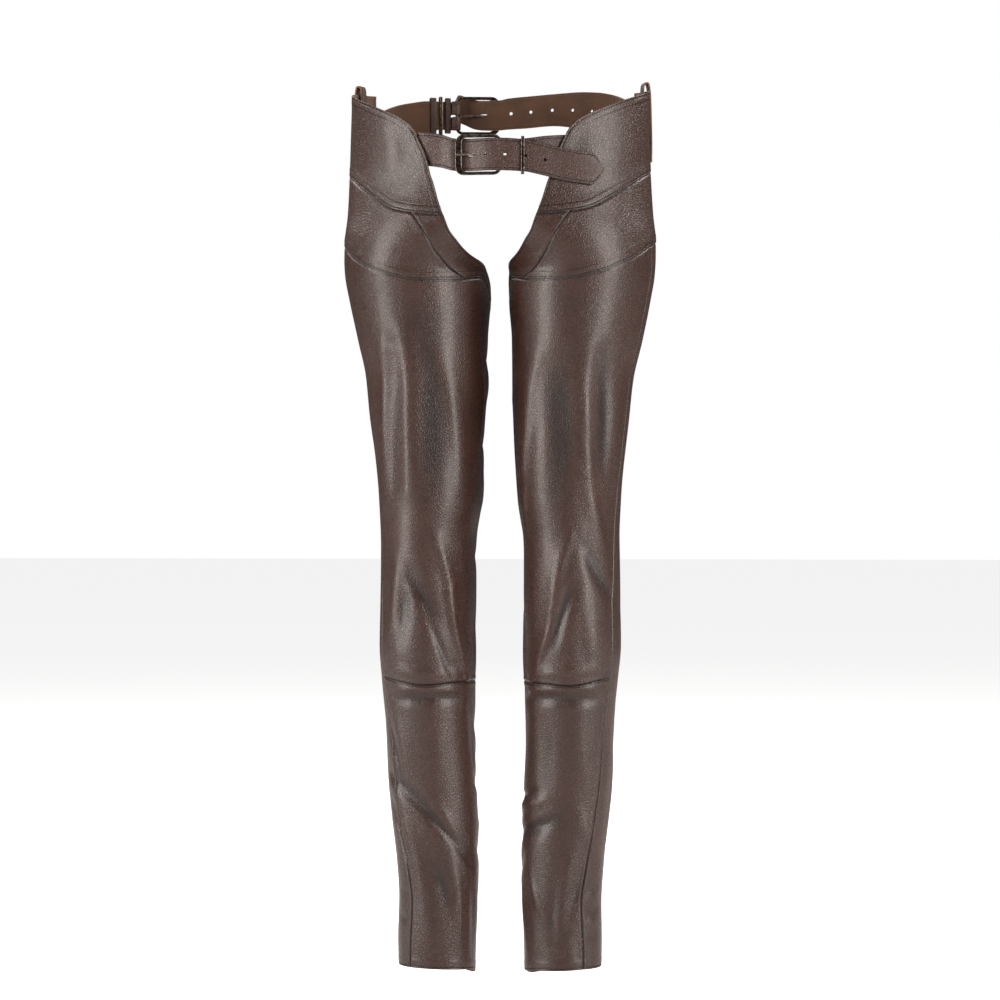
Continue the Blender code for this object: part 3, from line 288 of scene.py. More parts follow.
class Form:
    """The ring-section form of the wearer's left leg and half of the hips, in millimetres."""

    def section(self, places: np.ndarray) -> np.ndarray:
        """Finds the form's points.

        Args:
            places: Angles and heights, in the last dimension.

        Returns:
            Their points.
        """
        turn, height = np.radians(places[..., 0]), places[..., 1]
        outer, inner, front, back = (eased(SECTIONS[:, 0], SECTIONS[:, k], height) for k in range(1, 5))
        depth = np.where(np.cos(turn) > 0, front, back)
        across = (outer + inner) / 2 + (outer - inner) / 2 * np.sin(turn)
        return np.stack([across, -depth * np.cos(turn), height], axis=-1)

    def slopes(self, places: np.ndarray) -> tuple[np.ndarray, np.ndarray]:
        """Finds how the form runs at some places.

        Args:
            places: Angles and heights.

        Returns:
            The steps for a degree of angle and for a millimetre of height.
        """
        turn, rise = np.array((0.5, 0.0)), np.array((0.0, 3.0))
        round_way = self.section(places + turn) - self.section(places - turn)
        up_way = (self.section(places + rise) - self.section(places - rise)) / 6.0
        return round_way, up_way

    def outward(self, places: np.ndarray) -> np.ndarray:
        """The form's unit directions outward."""
        out = np.cross(*self.slopes(places))
        return out / np.linalg.norm(out, axis=-1, keepdims=True)

    def level_out(self, place: Sequence[float]) -> np.ndarray:
        """The level unit direction outward at a place."""
        out = self.outward(np.array(place, float))
        out[2] = 0
        return out / np.linalg.norm(out)

    def point(self, places: np.ndarray, lift: np.ndarray | float = 0.0) -> np.ndarray:
        """The form's points moved out by a lift."""
        return self.section(places) + self.outward(places) * np.asarray(lift, float)[..., None]

    def measured(self, places: np.ndarray, step: float = 1.0) -> np.ndarray:
        """Gives a line evenly spaced stations.

        Args:
            places: The line's places.
            step: Millimetres between stations.

        Returns:
            Places along the same line.
        """
        along = self.lengths(places)
        at = np.linspace(0, along[-1], max(2, math.ceil(along[-1] / step) + 1))
        return np.stack([np.interp(at, along, places[:, k]) for k in (0, 1)], axis=-1)

    def lengths(self, places: np.ndarray) -> np.ndarray:
        """Millimetres along a line up to each of its places."""
        steps = np.linalg.norm(np.diff(self.section(places), axis=0), axis=1)
        return np.concatenate([[0.0], np.cumsum(steps)])

    def across(self, table: Sequence[tuple[float, float]], start: float, end: float) -> np.ndarray:
        """An edge or seam that runs across, from one angle to another."""
        angles = np.linspace(start, end, 300)
        return self.measured(np.stack([angles, eased(*zip(*table), angles)], axis=-1))

    def seam_angle(self, name: str, heights: np.ndarray) -> np.ndarray:
        """The angle of an upright seam at some heights."""
        return eased(UPRIGHTS[:, 0], UPRIGHTS[:, UPRIGHT_NAMES.index(name) + 1], heights)

    def upright(self, name: str, top: float, foot: float, turn: float = 0.0) -> np.ndarray:
        """An upright seam from one height down to another, turned by some degrees."""
        heights = np.linspace(top, foot, 300)
        return self.measured(np.stack([self.seam_angle(name, heights) + turn, heights], axis=-1))

    def straight(self, start: tuple[float, float], end: tuple[float, float]) -> np.ndarray:
        """A line that is straight in angle and height."""
        return self.measured(np.linspace(start, end, 80))

    def offset(self, line: np.ndarray, distance: float, towards: np.ndarray) -> np.ndarray:
        """Moves a line sideways along the form.

        Args:
            line: The line's places.
            distance: How far, in millimetres.
            towards: A place beside its middle, on the side that it moves to.

        Returns:
            The moved line's places.
        """
        points = self.section(line)
        ways = np.gradient(points, axis=0)
        side = np.cross(self.outward(line), ways)
        side /= np.linalg.norm(side, axis=1, keepdims=True)
        middle = len(line) // 2
        if side[middle] @ (self.section(towards) - points[middle]) < 0:
            side = -side
        round_way, up_way = self.slopes(line)
        a, b, p = (np.sum(round_way * way, axis=1) for way in (round_way, up_way, side))
        c, q = (np.sum(up_way * way, axis=1) for way in (up_way, side))
        scale = distance / (a * c - b * b)
        return line + np.stack([(c * p - b * q) * scale, (a * q - b * p) * scale], axis=-1)


FORM = Form()


@dataclass(frozen=True)
class Creases:
    """The creases and slow waves of one leg's leather."""

    rows: tuple[tuple[float, ...], ...]
    phase: float
    girth: float = 1.15  # millimetres of leather for a degree, about the middle of a leg
    wave: float = 0.4
    breadth: float = 1.2  # how much wider than its row a crease spreads
    depth: float = 1.2

    def rise(self, places: np.ndarray) -> np.ndarray:
        """How far the creases lift the leather at some places, in millimetres."""
        spot = places * np.array((self.girth, 1.0))
        total = np.zeros(places.shape[:-1])
        for angle_a, height_a, angle_b, height_b, bow, width, rise, lean in self.rows:
            start = np.array((angle_a * self.girth, height_a))
            way = np.array((angle_b * self.girth, height_b)) - start
            length = np.linalg.norm(way)
            way = way / length
            off = spot - start
            share = np.clip(off @ way / length, 0.0, 1.0)
            along = off @ way - share * length
            across = off @ np.array((way[1], -way[0])) - bow * 4 * share * (1 - share)
            wide = width * self.breadth * (1 + lean * np.tanh(across / width * 2))
            fade = self.depth * (0.45 + 0.55 * np.sin(np.pi * np.clip(share, 0.02, 0.98)) ** 0.8)
            total += rise * fade * np.exp(-(across / wide) ** 2 - (along / (width * 1.8)) ** 2)
        return total + self.waves(places)

    def waves(self, places: np.ndarray) -> np.ndarray:
        """Slow unevenness of worn leather."""
        angle, height = np.radians(places[..., 0]), places[..., 1]
        first = np.sin(3 * angle + height / 61.0 + self.phase) * np.sin(height / 43.0 - 2 * angle)
        second = np.sin(5 * angle - height / 29.0 + 2 * self.phase) * np.sin(height / 71.0 + angle)
        return self.wave * (first + 0.5 * second)


CREASES = {Side.LEFT: Creases(LEFT_CREASES, 0.4), Side.RIGHT: Creases(RIGHT_CREASES, 2.3)}


@dataclass
class Patch:
    """A patch of the form between four edges: top and foot run with the angle, front and rear down."""

    top: np.ndarray
    foot: np.ndarray
    front: np.ndarray
    rear: np.ndarray

    @classmethod
    def between(cls, front: np.ndarray, rear: np.ndarray) -> "Patch":
        """The patch between two upright lines, straight across at its top and foot."""
        return cls(FORM.straight(front[0], rear[0]), FORM.straight(front[-1], rear[-1]), front, rear)

    def at(self, u: np.ndarray, v: np.ndarray) -> np.ndarray:
        """Finds places in the patch.

        Args:
            u: Shares of the way from front to rear.
            v: Shares of the way from foot to top.

        Returns:
            The places.
        """
        top, foot = self.read(self.top, u), self.read(self.foot, u)
        front, rear = self.read(self.front, 1 - v), self.read(self.rear, 1 - v)
        u, v = u[..., None], v[..., None]
        corners = v * ((1 - u) * self.top[0] + u * self.top[-1])
        corners += (1 - v) * ((1 - u) * self.foot[0] + u * self.foot[-1])
        return v * top + (1 - v) * foot + (1 - u) * front + u * rear - corners

    @staticmethod
    def read(line: np.ndarray, share: np.ndarray) -> np.ndarray:
        """Reads a line at shares of its length, straight on past its ends."""
        steps = len(line) - 1
        stations = np.linspace(0, 1, len(line))
        inside = np.stack([np.interp(share, stations, line[:, k]) for k in (0, 1)], axis=-1)
        before = np.minimum(share, 0)[..., None] * (line[1] - line[0]) * steps
        return inside + before + np.maximum(share - 1, 0)[..., None] * (line[-1] - line[-2]) * steps

    def inside_of(self, line: np.ndarray) -> np.ndarray:
        """The place inside the patch that is nearest to the middle of a line."""
        u, v = np.meshgrid(np.linspace(0.04, 0.96, 40), np.linspace(0.04, 0.96, 40))
        places = self.at(u, v).reshape(-1, 2)
        gaps = FORM.section(places) - FORM.section(line[len(line) // 2])
        return places[int(np.argmin(np.linalg.norm(gaps, axis=1)))]

    def size(self, lines: int = 9) -> tuple[float, float, float]:
        """Measures the flat piece that the patch is cut from.

        Args:
            lines: Lines measured each way.

        Returns:
            Its width, its length and its area, in millimetres.
        """
        shares = np.linspace(0, 1, 60)
        wide = [FORM.lengths(self.at(shares, np.full(60, k)))[-1] for k in np.linspace(0, 1, lines)]
        tall = [FORM.lengths(self.at(np.full(60, k), shares))[-1] for k in np.linspace(0, 1, lines)]
        u, v = np.meshgrid(shares, shares)
        grid = FORM.section(self.at(u, v))
        sides = np.diff(grid, axis=0)[:, :-1], np.diff(grid, axis=1)[:-1]
        area = np.linalg.norm(np.cross(*sides), axis=-1).sum()
        return max(wide), max(tall), area


# -----------------------------------------------------------------------------
# Modelling helpers
# -----------------------------------------------------------------------------


def deselect_all() -> None:
    """Leaves nothing selected."""
    if bpy.context.mode != "OBJECT":
        bpy.ops.object.mode_set(mode="OBJECT")
    bpy.ops.object.select_all(action="DESELECT")


def activate(obj: bpy.types.Object) -> None:
    """Makes one object the selected and active one."""
    deselect_all()
    obj.select_set(True)
    bpy.context.view_layer.objects.active = obj


def add_primitive(maker: Callable, name: str, **settings: object) -> bpy.types.Object:
    """Adds a primitive by its operator and applies its place.

    Args:
        maker: The operator that adds it.
        name: The new object's name.
        settings: The operator's settings.

    Returns:
        The object, at the origin.
    """
    deselect_all()
    maker(**settings)
    obj = bpy.context.active_object
    obj.name = obj.data.name = name
    bpy.ops.object.transform_apply(location=True, rotation=True, scale=True)
    return obj


@contextmanager
def editing(obj: bpy.types.Object) -> Iterator[None]:
    """Keeps an object in edit mode while it is worked on."""
    activate(obj)
    bpy.ops.object.mode_set(mode="EDIT")
    yield
    bpy.ops.object.mode_set(mode="OBJECT")


def apply_modifier(obj: bpy.types.Object, kind: str, **settings: object) -> None:
    """Adds a modifier to an object and applies it."""
    activate(obj)
    modifier = obj.modifiers.new(kind.lower(), kind)
    for key, value in settings.items():
        setattr(modifier, key, value)
    bpy.ops.object.modifier_apply(modifier=modifier.name)


CLOTH_EDGE, BELT_EDGE, TRIM_EDGE = 60.0, 50.0, 45.0  # degrees past which an edge is kept sharp
NEARLY = 0.9  # how nearly an edge or a face points a way that it is picked by


def smooth(obj: bpy.types.Object, angle: float) -> None:
    """Shades an object smooth, with edges sharper than an angle kept."""
    activate(obj)
    bpy.ops.object.shade_smooth_by_angle(angle=math.radians(angle))


def pick(obj: bpy.types.Object, kind: str, test: Callable) -> None:
    """Selects the edges or faces of the object in edit mode that pass a test, and nothing else."""
    bpy.ops.mesh.select_mode(type=kind)
    bpy.ops.mesh.select_all(action="DESELECT")
    mesh = bmesh.from_edit_mesh(obj.data)
    for part in mesh.edges if kind == "EDGE" else mesh.faces:
        part.select_set(bool(test(part)))
    mesh.select_flush_mode()
    bmesh.update_edit_mesh(obj.data)


def edge_way(edge: bmesh.types.BMEdge) -> Vector:
    """The unit direction of an edge."""
    return (edge.verts[1].co - edge.verts[0].co).normalized()


def round_edges(obj: bpy.types.Object, offset: float, segments: int, sharper: float = 50.0) -> None:
    """Bevels the edges of an object that are sharper than an angle."""
    limit = math.radians(sharper)
    with editing(obj):
        pick(obj, "EDGE", lambda edge: len(edge.link_faces) == 2 and edge.calc_face_angle() > limit)
        bpy.ops.mesh.bevel(offset=offset, segments=segments, profile=0.5)


def facing(centre: np.ndarray, out: np.ndarray) -> Matrix:
    """The matrix that stands a piece made in millimetres at a place, with its Y up and its Z outward."""
    up = Vector((0, 0, 1))
    face = Vector(out).normalized()
    along = up.cross(face)
    turn = Matrix((along, up, face)).transposed().to_4x4()
    return Matrix.Scale(MM, 4) @ Matrix.Translation(Vector(centre)) @ turn


def read_points(mesh: bpy.types.Mesh) -> np.ndarray:
    """A mesh's points."""
    points = np.zeros(len(mesh.vertices) * 3)
    mesh.vertices.foreach_get("co", points)
    return points.reshape(-1, 3)


def store(obj: bpy.types.Object, **values: np.ndarray | float) -> None:
    """Stores named values for the points of a piece, which its finish reads."""
    for key, value in values.items():
        layer = obj.data.attributes.new(key, "FLOAT", "POINT")
        layer.data.foreach_set("value", np.full(len(obj.data.vertices), value, np.float32))


def cloth_grid(
    name: str, across: np.ndarray, along: np.ndarray, shape: Callable, side: Side
) -> bpy.types.Object:
    """Lays a grid of cloth in its shape.

    Args:
        name: The piece's name.
        across: Shares of the width at the grid's lines.
        along: Shares of the length at the grid's lines.
        shape: Gives points in millimetres, and named values for them, from shares of width and length.
        side: Its side. The right side is mirrored, and its grid runs the other way, so that it faces out.

    Returns:
        The piece, one face thick.
    """
    columns, rows = len(across) - 1, len(along) - 1
    obj = add_primitive(bpy.ops.mesh.primitive_grid_add, name, x_subdivisions=columns, y_subdivisions=rows,
                        size=1.0)
    flat = read_points(obj.data)
    i = np.rint((flat[:, 0] + 0.5) * columns).astype(int)
    j = np.rint((flat[:, 1] + 0.5) * rows).astype(int)
    u = (across if side is Side.LEFT else across[::-1])[i]
    points, values = shape(u, along[j])
    points = points * MM
    points[:, 0] *= side.sign
    obj.data.vertices.foreach_set("co", points.ravel())
    store(obj, **values)
    obj.data.update()
    return obj


def thicken(obj: bpy.types.Object, wall: float, offset: float = -1.0) -> None:
    """Gives cloth its thickness, with its second and third materials inside and on the cut edges."""
    apply_modifier(obj, "SOLIDIFY", thickness=wall * MM, offset=offset, material_offset=1,
                   material_offset_rim=2)


def lines_along(
    length: float, step: float, start: Iterable[float] = (), end: Iterable[float] = ()
) -> np.ndarray:
    """Places a grid's lines along a length.

    Args:
        length: The length in millimetres.
        step: Millimetres between the lines away from the ends.
        start: Distances from the start of the finer lines there.
        end: Distances from the end of the finer lines there.

    Returns:
        Shares of the length, from 0 to 1.
    """
    first = [d for d in start if d < 0.4 * length]
    last = [length - d for d in end if d < 0.4 * length]
    low, high = max(first, default=0.0), min(last, default=length)
    middle = np.linspace(low, high, max(2, math.ceil((high - low) / step) + 1))
    return np.unique(np.round(np.concatenate([[0.0], first, middle, last, [length]]), 4)) / length


def stamp(name: str, template: bpy.types.Object, places: np.ndarray) -> bpy.types.Object:
    """Joins many copies of a small piece in one mesh.

    Args:
        name: The joined piece's name.
        template: The small piece, in millimetres. It is removed.
        places: A 4 x 4 matrix for each copy, in millimetres.

    Returns:
        The joined piece.
    """
    points = read_points(template.data)
    faces = [tuple(face.vertices) for face in template.data.polygons]
    copies = np.einsum("nij,vj->nvi", places[:, :3, :3], points) + places[:, None, :3, 3]
    count = len(points)
    joined = [tuple(k + n * count for k in face) for n in range(len(places)) for face in faces]
    mesh = bpy.data.meshes.new(name)
    mesh.from_pydata((copies.reshape(-1, 3) * MM).tolist(), [], joined)
    mesh.update()
    bpy.data.objects.remove(template)
    obj = bpy.data.objects.new(name, mesh)
    bpy.context.scene.collection.objects.link(obj)
    smooth(obj, CLOTH_EDGE)
    return obj


def frames_along(points: np.ndarray, outs: np.ndarray, mirrored: bool) -> np.ndarray:
    """Matrices that stand small pieces along a row, their X along it and their Z outward."""
    ways = np.gradient(points, axis=0)
    ways /= np.linalg.norm(ways, axis=1, keepdims=True)
    sides = np.cross(outs, ways)
    sides /= np.linalg.norm(sides, axis=1, keepdims=True)
    places = np.zeros((len(points), 4, 4))
    for k, column in enumerate((ways, sides, np.cross(ways, sides))):
        places[:, :3, k] = column
    places[:, :3, 3] = points
    places[:, 3, 3] = 1
    if mirrored:
        places[:, 0, :] *= -1
        places[:, :3, 1] *= -1
    return places


# -----------------------------------------------------------------------------
# Finishes
# -----------------------------------------------------------------------------


class Tree:
    """Adds and joins the nodes of one shader tree."""

    def __init__(self, tree: bpy.types.NodeTree) -> None:
        """Starts from a tree."""
        self.tree = tree

    def feed(self, node: bpy.types.Node, inputs: dict) -> bpy.types.Node:
        """Gives a node its inputs, each a value or a socket, by name or number."""
        for key, value in inputs.items():
            if isinstance(value, bpy.types.NodeSocket):
                self.tree.links.new(value, node.inputs[key])
            else:
                node.inputs[key].default_value = value
        return node

    def add(self, kind: str, inputs: dict | None = None, **settings: object) -> bpy.types.Node:
        """Adds a node.

        Args:
            kind: The node's type.
            inputs: Values or sockets for its inputs, by name or number.
            settings: The node's own settings.

        Returns:
            The node.
        """
        node = self.tree.nodes.new(kind)
        for key, value in settings.items():
            setattr(node, key, value)
        return self.feed(node, inputs or {})

    def math(self, operation: str, *values: object) -> bpy.types.NodeSocket:
        """The result of a calculation on one to three values or sockets."""
        return self.add("ShaderNodeMath", dict(enumerate(values)), operation=operation).outputs[0]

    def shift(self, operation: str, first: object, key: int | str, second: object) -> bpy.types.NodeSocket:
        """The result of a calculation on a vector and one more value or socket."""
        return self.add("ShaderNodeVectorMath", {0: first, key: second}, operation=operation).outputs[0]

    def ramp(self, value: object, low: float, high: float, most: float = 1.0) -> bpy.types.NodeSocket:
        """A value carried softly from a range to 0 and the most."""
        inputs = {"Value": value, "From Min": low, "From Max": high, "To Min": 0.0, "To Max": most}
        return self.add("ShaderNodeMapRange", inputs, interpolation_type="SMOOTHSTEP").outputs["Result"]

    def blend(self, share: object, first: object, second: object) -> bpy.types.NodeSocket:
        """A colour between two."""
        return self.add("ShaderNodeMix", {0: share, 6: first, 7: second}, data_type="RGBA").outputs[2]

    def noise(self, vector: object, scale: object, detail: float = 2.0, roughness: float = 0.5) -> object:
        """The value of a noise texture."""
        inputs = {"Vector": vector, "Scale": scale, "Detail": detail, "Roughness": roughness}
        return self.add("ShaderNodeTexNoise", inputs).outputs[0]

    def bump(self, height: object, strength: float, distance: float) -> bpy.types.NodeSocket:
        """The normal of a fine relief."""
        inputs = {"Height": height, "Strength": strength, "Distance": distance}
        return self.add("ShaderNodeBump", inputs).outputs["Normal"]

    def place(self) -> bpy.types.NodeSocket:
        """The place on the piece."""
        return self.add("ShaderNodeTexCoord").outputs["Object"]

    def stored(self, name: str) -> bpy.types.NodeSocket:
        """A value stored for the points of the piece."""
        return self.add("ShaderNodeAttribute", attribute_name=name).outputs["Fac"]


def rgba(colour: Sequence[float]) -> tuple[float, float, float, float]:
    """A colour with full alpha."""
    return (*colour, 1.0)


VECTOR, COLOUR, NUMBER = "NodeSocketVector", "NodeSocketColor", "NodeSocketFloat"


class Effects:
    """The effects that several finishes share, each a node group made once."""

    made: dict[str, bpy.types.NodeTree] = {}

    @classmethod
    def group(cls, name: str, inputs: dict[str, str], outputs: dict[str, str], wire: Callable) -> object:
        """Makes a node group, unless it is there already.

        Args:
            name: The group's name.
            inputs: The kind of each input, by name.
            outputs: The kind of each output, by name.
            wire: Adds the nodes, from a tree and the inputs' sockets, and gives the outputs' sockets.

        Returns:
            The group.
        """
        if name not in cls.made:
            made = cls.made[name] = bpy.data.node_groups.new(name, "ShaderNodeTree")
            for way, kinds in (("INPUT", inputs), ("OUTPUT", outputs)):
                for key, kind in kinds.items():
                    made.interface.new_socket(key, in_out=way, socket_type=kind)
            tree = Tree(made)
            found = wire(tree, tree.add("NodeGroupInput").outputs)
            tree.feed(tree.add("NodeGroupOutput"), found)
        return cls.made[name]

    @classmethod
    def pebble(cls) -> bpy.types.NodeTree:
        """Pebbled leather grain: rounded cells of two sizes with fine creases between them."""

        def wire(tree: Tree, sockets: object) -> dict[str, bpy.types.NodeSocket]:
            """Shifts the cells' walls a little, and adds small cells and pores."""
            vector, scale = sockets["Vector"], sockets["Scale"]
            wide = {"Vector": vector, "Scale": tree.math("MULTIPLY", scale, 0.3)}
            slow = tree.add("ShaderNodeTexNoise", wide).outputs["Color"]
            pull = tree.shift("SUBTRACT", slow, 1, (0.5, 0.5, 0.5))
            pull = tree.shift("SCALE", pull, "Scale", tree.math("DIVIDE", 1.1, scale))
            inputs = {"Vector": tree.shift("ADD", vector, 1, pull), "Scale": scale}
            cells = tree.add("ShaderNodeTexVoronoi", inputs, feature="DISTANCE_TO_EDGE")
            inputs["Scale"] = tree.math("MULTIPLY", scale, 2.1)
            small = tree.add("ShaderNodeTexVoronoi", inputs)
            dome = tree.ramp(cells.outputs["Distance"], 0.0, 0.32)
            fine = tree.math("SUBTRACT", 1.0, small.outputs["Distance"])
            pore = tree.noise(vector, tree.math("MULTIPLY", scale, 4.0))
            height = tree.math("MULTIPLY_ADD", fine, 0.28, tree.math("MULTIPLY", dome, 0.6))
            height = tree.math("MULTIPLY_ADD", pore, 0.16, height)
            return {"Height": height, "Crease": tree.math("SUBTRACT", 1.0, dome)}

        outputs = {"Height": NUMBER, "Crease": NUMBER}
        return cls.group("pebble grain", {"Vector": VECTOR, "Scale": NUMBER}, outputs, wire)

    @classmethod
    def wear_and_painted_light(cls) -> bpy.types.NodeTree:
        """Uneven dye, painted shade at seams, stitches, troughs and grain creases, and painted highlight on
        worn folds.
        """

        def wire(tree: Tree, sockets: object) -> dict[str, bpy.types.NodeSocket]:
            """Clouds the dye and then lays each mask over it with its own share of painted shade or of pale.
            """
            vector = sockets["Vector"]
            cloud = tree.ramp(tree.noise(vector, 11.0, 4.0, 0.6), 0.38, 0.68)
            # Raised folds turn paler: partly worn leather, partly a painted highlight on their ridges.
            rubbed_and_highlit = tree.ramp(sockets["Fold"], 0.4, 3.2)
            patchy = tree.math("MULTIPLY", rubbed_and_highlit, tree.ramp(tree.noise(vector, 60.0, 3.0), 0.3, 0.6))
            colour = sockets["Base"]
            for mask, share, shade in (
                (cloud, 0.4, "Pale"),
                # painted highlight and worn pale on the raised folds
                (patchy, 0.45, "Pale"),
                # painted shade in the troughs of creases and pleats
                (tree.ramp(sockets["Fold"], -0.3, -3.2), 0.65, "Dark"),
                # painted shade in the seam grooves
                (tree.ramp(sockets["Seam"], 1.5, 0.5), 0.95, "Dark"),
                # painted shade in the grooves of the rows of stitches
                (tree.ramp(sockets["Row"], 0.9, 0.35), 0.75, "Dark"),
                # painted shade in the creases between the pebbles
                (sockets["Crease"], 0.5, "Dark"),
            ):
                colour = tree.blend(tree.math("MULTIPLY", mask, share), colour, sockets[shade])
            polish = tree.math("ADD", tree.math("MULTIPLY", patchy, 0.6), tree.math("MULTIPLY", cloud, 0.4))
            return {"Colour": colour, "Polish": polish}

        inputs = {"Vector": VECTOR, "Base": COLOUR, "Dark": COLOUR, "Pale": COLOUR}
        inputs |= {"Seam": NUMBER, "Row": NUMBER, "Fold": NUMBER, "Crease": NUMBER}
        return cls.group("dye and wear", inputs, {"Colour": COLOUR, "Polish": NUMBER}, wire)

    @classmethod
    def nap(cls) -> bpy.types.NodeTree:
        """The short fibres of leather's flesh side and of its cut edges."""

        def wire(tree: Tree, sockets: object) -> dict[str, bpy.types.NodeSocket]:
            """Brushes the fibres one way and another."""
            fibre = tree.noise(sockets["Vector"], 1400.0, 4.0, 0.7)
            brushed = tree.ramp(tree.noise(sockets["Vector"], 24.0, 4.0, 0.6), 0.3, 0.7)
            share = tree.math("MULTIPLY_ADD", brushed, 0.55, tree.math("MULTIPLY", fibre, 0.35))
            return {"Colour": tree.blend(share, sockets["Base"], sockets["Dark"]), "Height": fibre}

        inputs = {"Vector": VECTOR, "Base": COLOUR, "Dark": COLOUR}
        return cls.group("nap", inputs, {"Colour": COLOUR, "Height": NUMBER}, wire)


@dataclass(frozen=True)
class Finish:
    """A finish, whose material is made once."""

    name: str

    def material(self) -> bpy.types.Material:
        """The finish's material."""
        if self.name not in bpy.data.materials:
            material = bpy.data.materials.new(self.name)
            material.use_nodes = True
            self.paint(Tree(material.node_tree), material.node_tree.nodes["Principled BSDF"])
        return bpy.data.materials[self.name]

    def paint(self, tree: Tree, shader: bpy.types.Node) -> None:
        """Sets the shader."""
        raise NotImplementedError


@dataclass(frozen=True)
class Leather(Finish):
    """Dyed leather with a pebbled grain, its colour carrying painted shade and painted highlight."""

    base: tuple[float, float, float]
    # dark is the painted shade colour; pale is the colour of uneven dye and of painted highlight
    dark: tuple[float, float, float]
    pale: tuple[float, float, float]
    roughness: float = 0.4
    grain: float = 620.0
    depth: float = 0.35
    coat: float = 0.12
    coat_roughness: float = 0.25
    dull: float = 0.16  # how much rougher it is between the pebbles
    polish: float = 0.08  # how much smoother it is where it rubs
    pebble_height: float = 0.001

    def paint(self, tree: Tree, shader: bpy.types.Node) -> None:
        """Grains and dyes the leather, and paints shade and highlight into its colour."""
        vector = tree.place()
        inputs = {"Vector": vector, "Scale": self.grain}
        grain = tree.add("ShaderNodeGroup", inputs, node_tree=Effects.pebble())
        inputs = {"Vector": vector, "Base": rgba(self.base), "Dark": rgba(self.dark), "Pale": rgba(self.pale)}
        inputs |= {key: tree.stored(f"{key.lower()}_mm") for key in ("Seam", "Row", "Fold")}
        inputs["Crease"] = grain.outputs["Crease"]
        wear_and_painted_light = tree.add("ShaderNodeGroup", inputs, node_tree=Effects.wear_and_painted_light())
        rough = tree.math("MULTIPLY_ADD", grain.outputs["Crease"], self.dull, self.roughness)
        rough = tree.math("SUBTRACT", rough, tree.math("MULTIPLY", wear_and_painted_light.outputs["Polish"], self.polish))
        tree.feed(shader, {
            "Base Color": wear_and_painted_light.outputs["Colour"],
            "Roughness": rough,
            "Normal": tree.bump(grain.outputs["Height"], self.depth, self.pebble_height),
            "Coat Weight": self.coat,
            "Coat Roughness": self.coat_roughness,
        })


@dataclass(frozen=True)
class Suede(Finish):
    """The flesh side of leather, or its cut edge."""

    base: tuple[float, float, float]
    dark: tuple[float, float, float]
    sheen: float = 0.35

    def paint(self, tree: Tree, shader: bpy.types.Node) -> None:
        """Raises the nap."""
        inputs = {"Base": rgba(self.base), "Dark": rgba(self.dark), "Vector": tree.place()}
        nap = tree.add("ShaderNodeGroup", inputs, node_tree=Effects.nap())
        tree.feed(shader, {
            "Base Color": nap.outputs["Colour"],
            "Roughness": 0.9,
            "Normal": tree.bump(nap.outputs["Height"], 0.5, 0.0004),
            "Sheen Weight": self.sheen,
            "Sheen Roughness": 0.5,
        })


@dataclass(frozen=True)
class Metal(Finish):
    """Dark antique metal, worn bright on its edges."""

    base: tuple[float, float, float]
    bright: tuple[float, float, float]
    roughness: float = 0.3

    def paint(self, tree: Tree, shader: bpy.types.Node) -> None:
        """Lays the patina and wears it off."""
        vector = tree.place()
        patina = tree.noise(vector, 260.0, 5.0, 0.65)
        worn = tree.math("MULTIPLY", tree.ramp(tree.stored("edge"), 0.15, 0.9), tree.ramp(patina, 0.3, 0.62))
        colour = tree.blend(tree.ramp(patina, 0.4, 0.8, 0.15), rgba(self.base), rgba(self.bright))
        tree.feed(shader, {
            "Base Color": tree.blend(worn, colour, rgba(self.bright)),
            "Roughness": tree.math("MULTIPLY_ADD", patina, 0.25, self.roughness - 0.1),
            "Normal": tree.bump(tree.noise(vector, 1800.0, 3.0, 0.6), 0.18, 0.0002),
            "Metallic": 1.0,
        })


@dataclass(frozen=True)
class Woven(Finish):
    """Twilled tape or twisted thread."""

    base: tuple[float, float, float]
    pale: tuple[float, float, float]
    pitch: float = 0.0009
    roughness: float = 0.8

    def paint(self, tree: Tree, shader: bpy.types.Node) -> None:
        """Weaves the ribs, with a painted highlight on their crests."""
        vector = tree.place()
        parts = tree.add("ShaderNodeSeparateXYZ", {0: vector})
        turn = 2 * math.pi / self.pitch
        level = tree.math("MULTIPLY", parts.outputs["Z"], turn)
        across = tree.math("MULTIPLY", tree.math("ADD", parts.outputs["X"], parts.outputs["Y"]), turn * 0.7)
        slant = tree.math("SINE", tree.math("ADD", level, across))
        cross = tree.math("SINE", tree.math("MULTIPLY", level, 1.9))
        height = tree.math("MULTIPLY_ADD", slant, 0.4, tree.math("MULTIPLY_ADD", cross, 0.12, 0.5))
        crest_breakup = tree.noise(vector, 900.0, 3.0, 0.6)
        # Paler where the ribs stand highest, a painted highlight broken up by noise.
        share = tree.math("MULTIPLY", tree.ramp(height, 0.3, 1.0), tree.ramp(crest_breakup, 0.25, 0.75))
        tree.feed(shader, {
            "Base Color": tree.blend(share, rgba(self.base), rgba(self.pale)),
            "Roughness": self.roughness,
            "Normal": tree.bump(height, 0.6, 0.0003),
            "Sheen Weight": 0.04,
            "Specular IOR Level": 0.06,
        })


# Each leather's dark colour is painted shade for seams, rows of stitches, troughs and grain creases, and its
# pale colour is uneven dye and painted highlight on raised folds.
GRAIN_LEATHER = Leather(
    "grain leather", (0.049, 0.0175, 0.011), (0.0045, 0.0022, 0.0018), (0.080, 0.032, 0.022),
    roughness=0.31, grain=340.0, depth=0.42, coat=0.32,
)
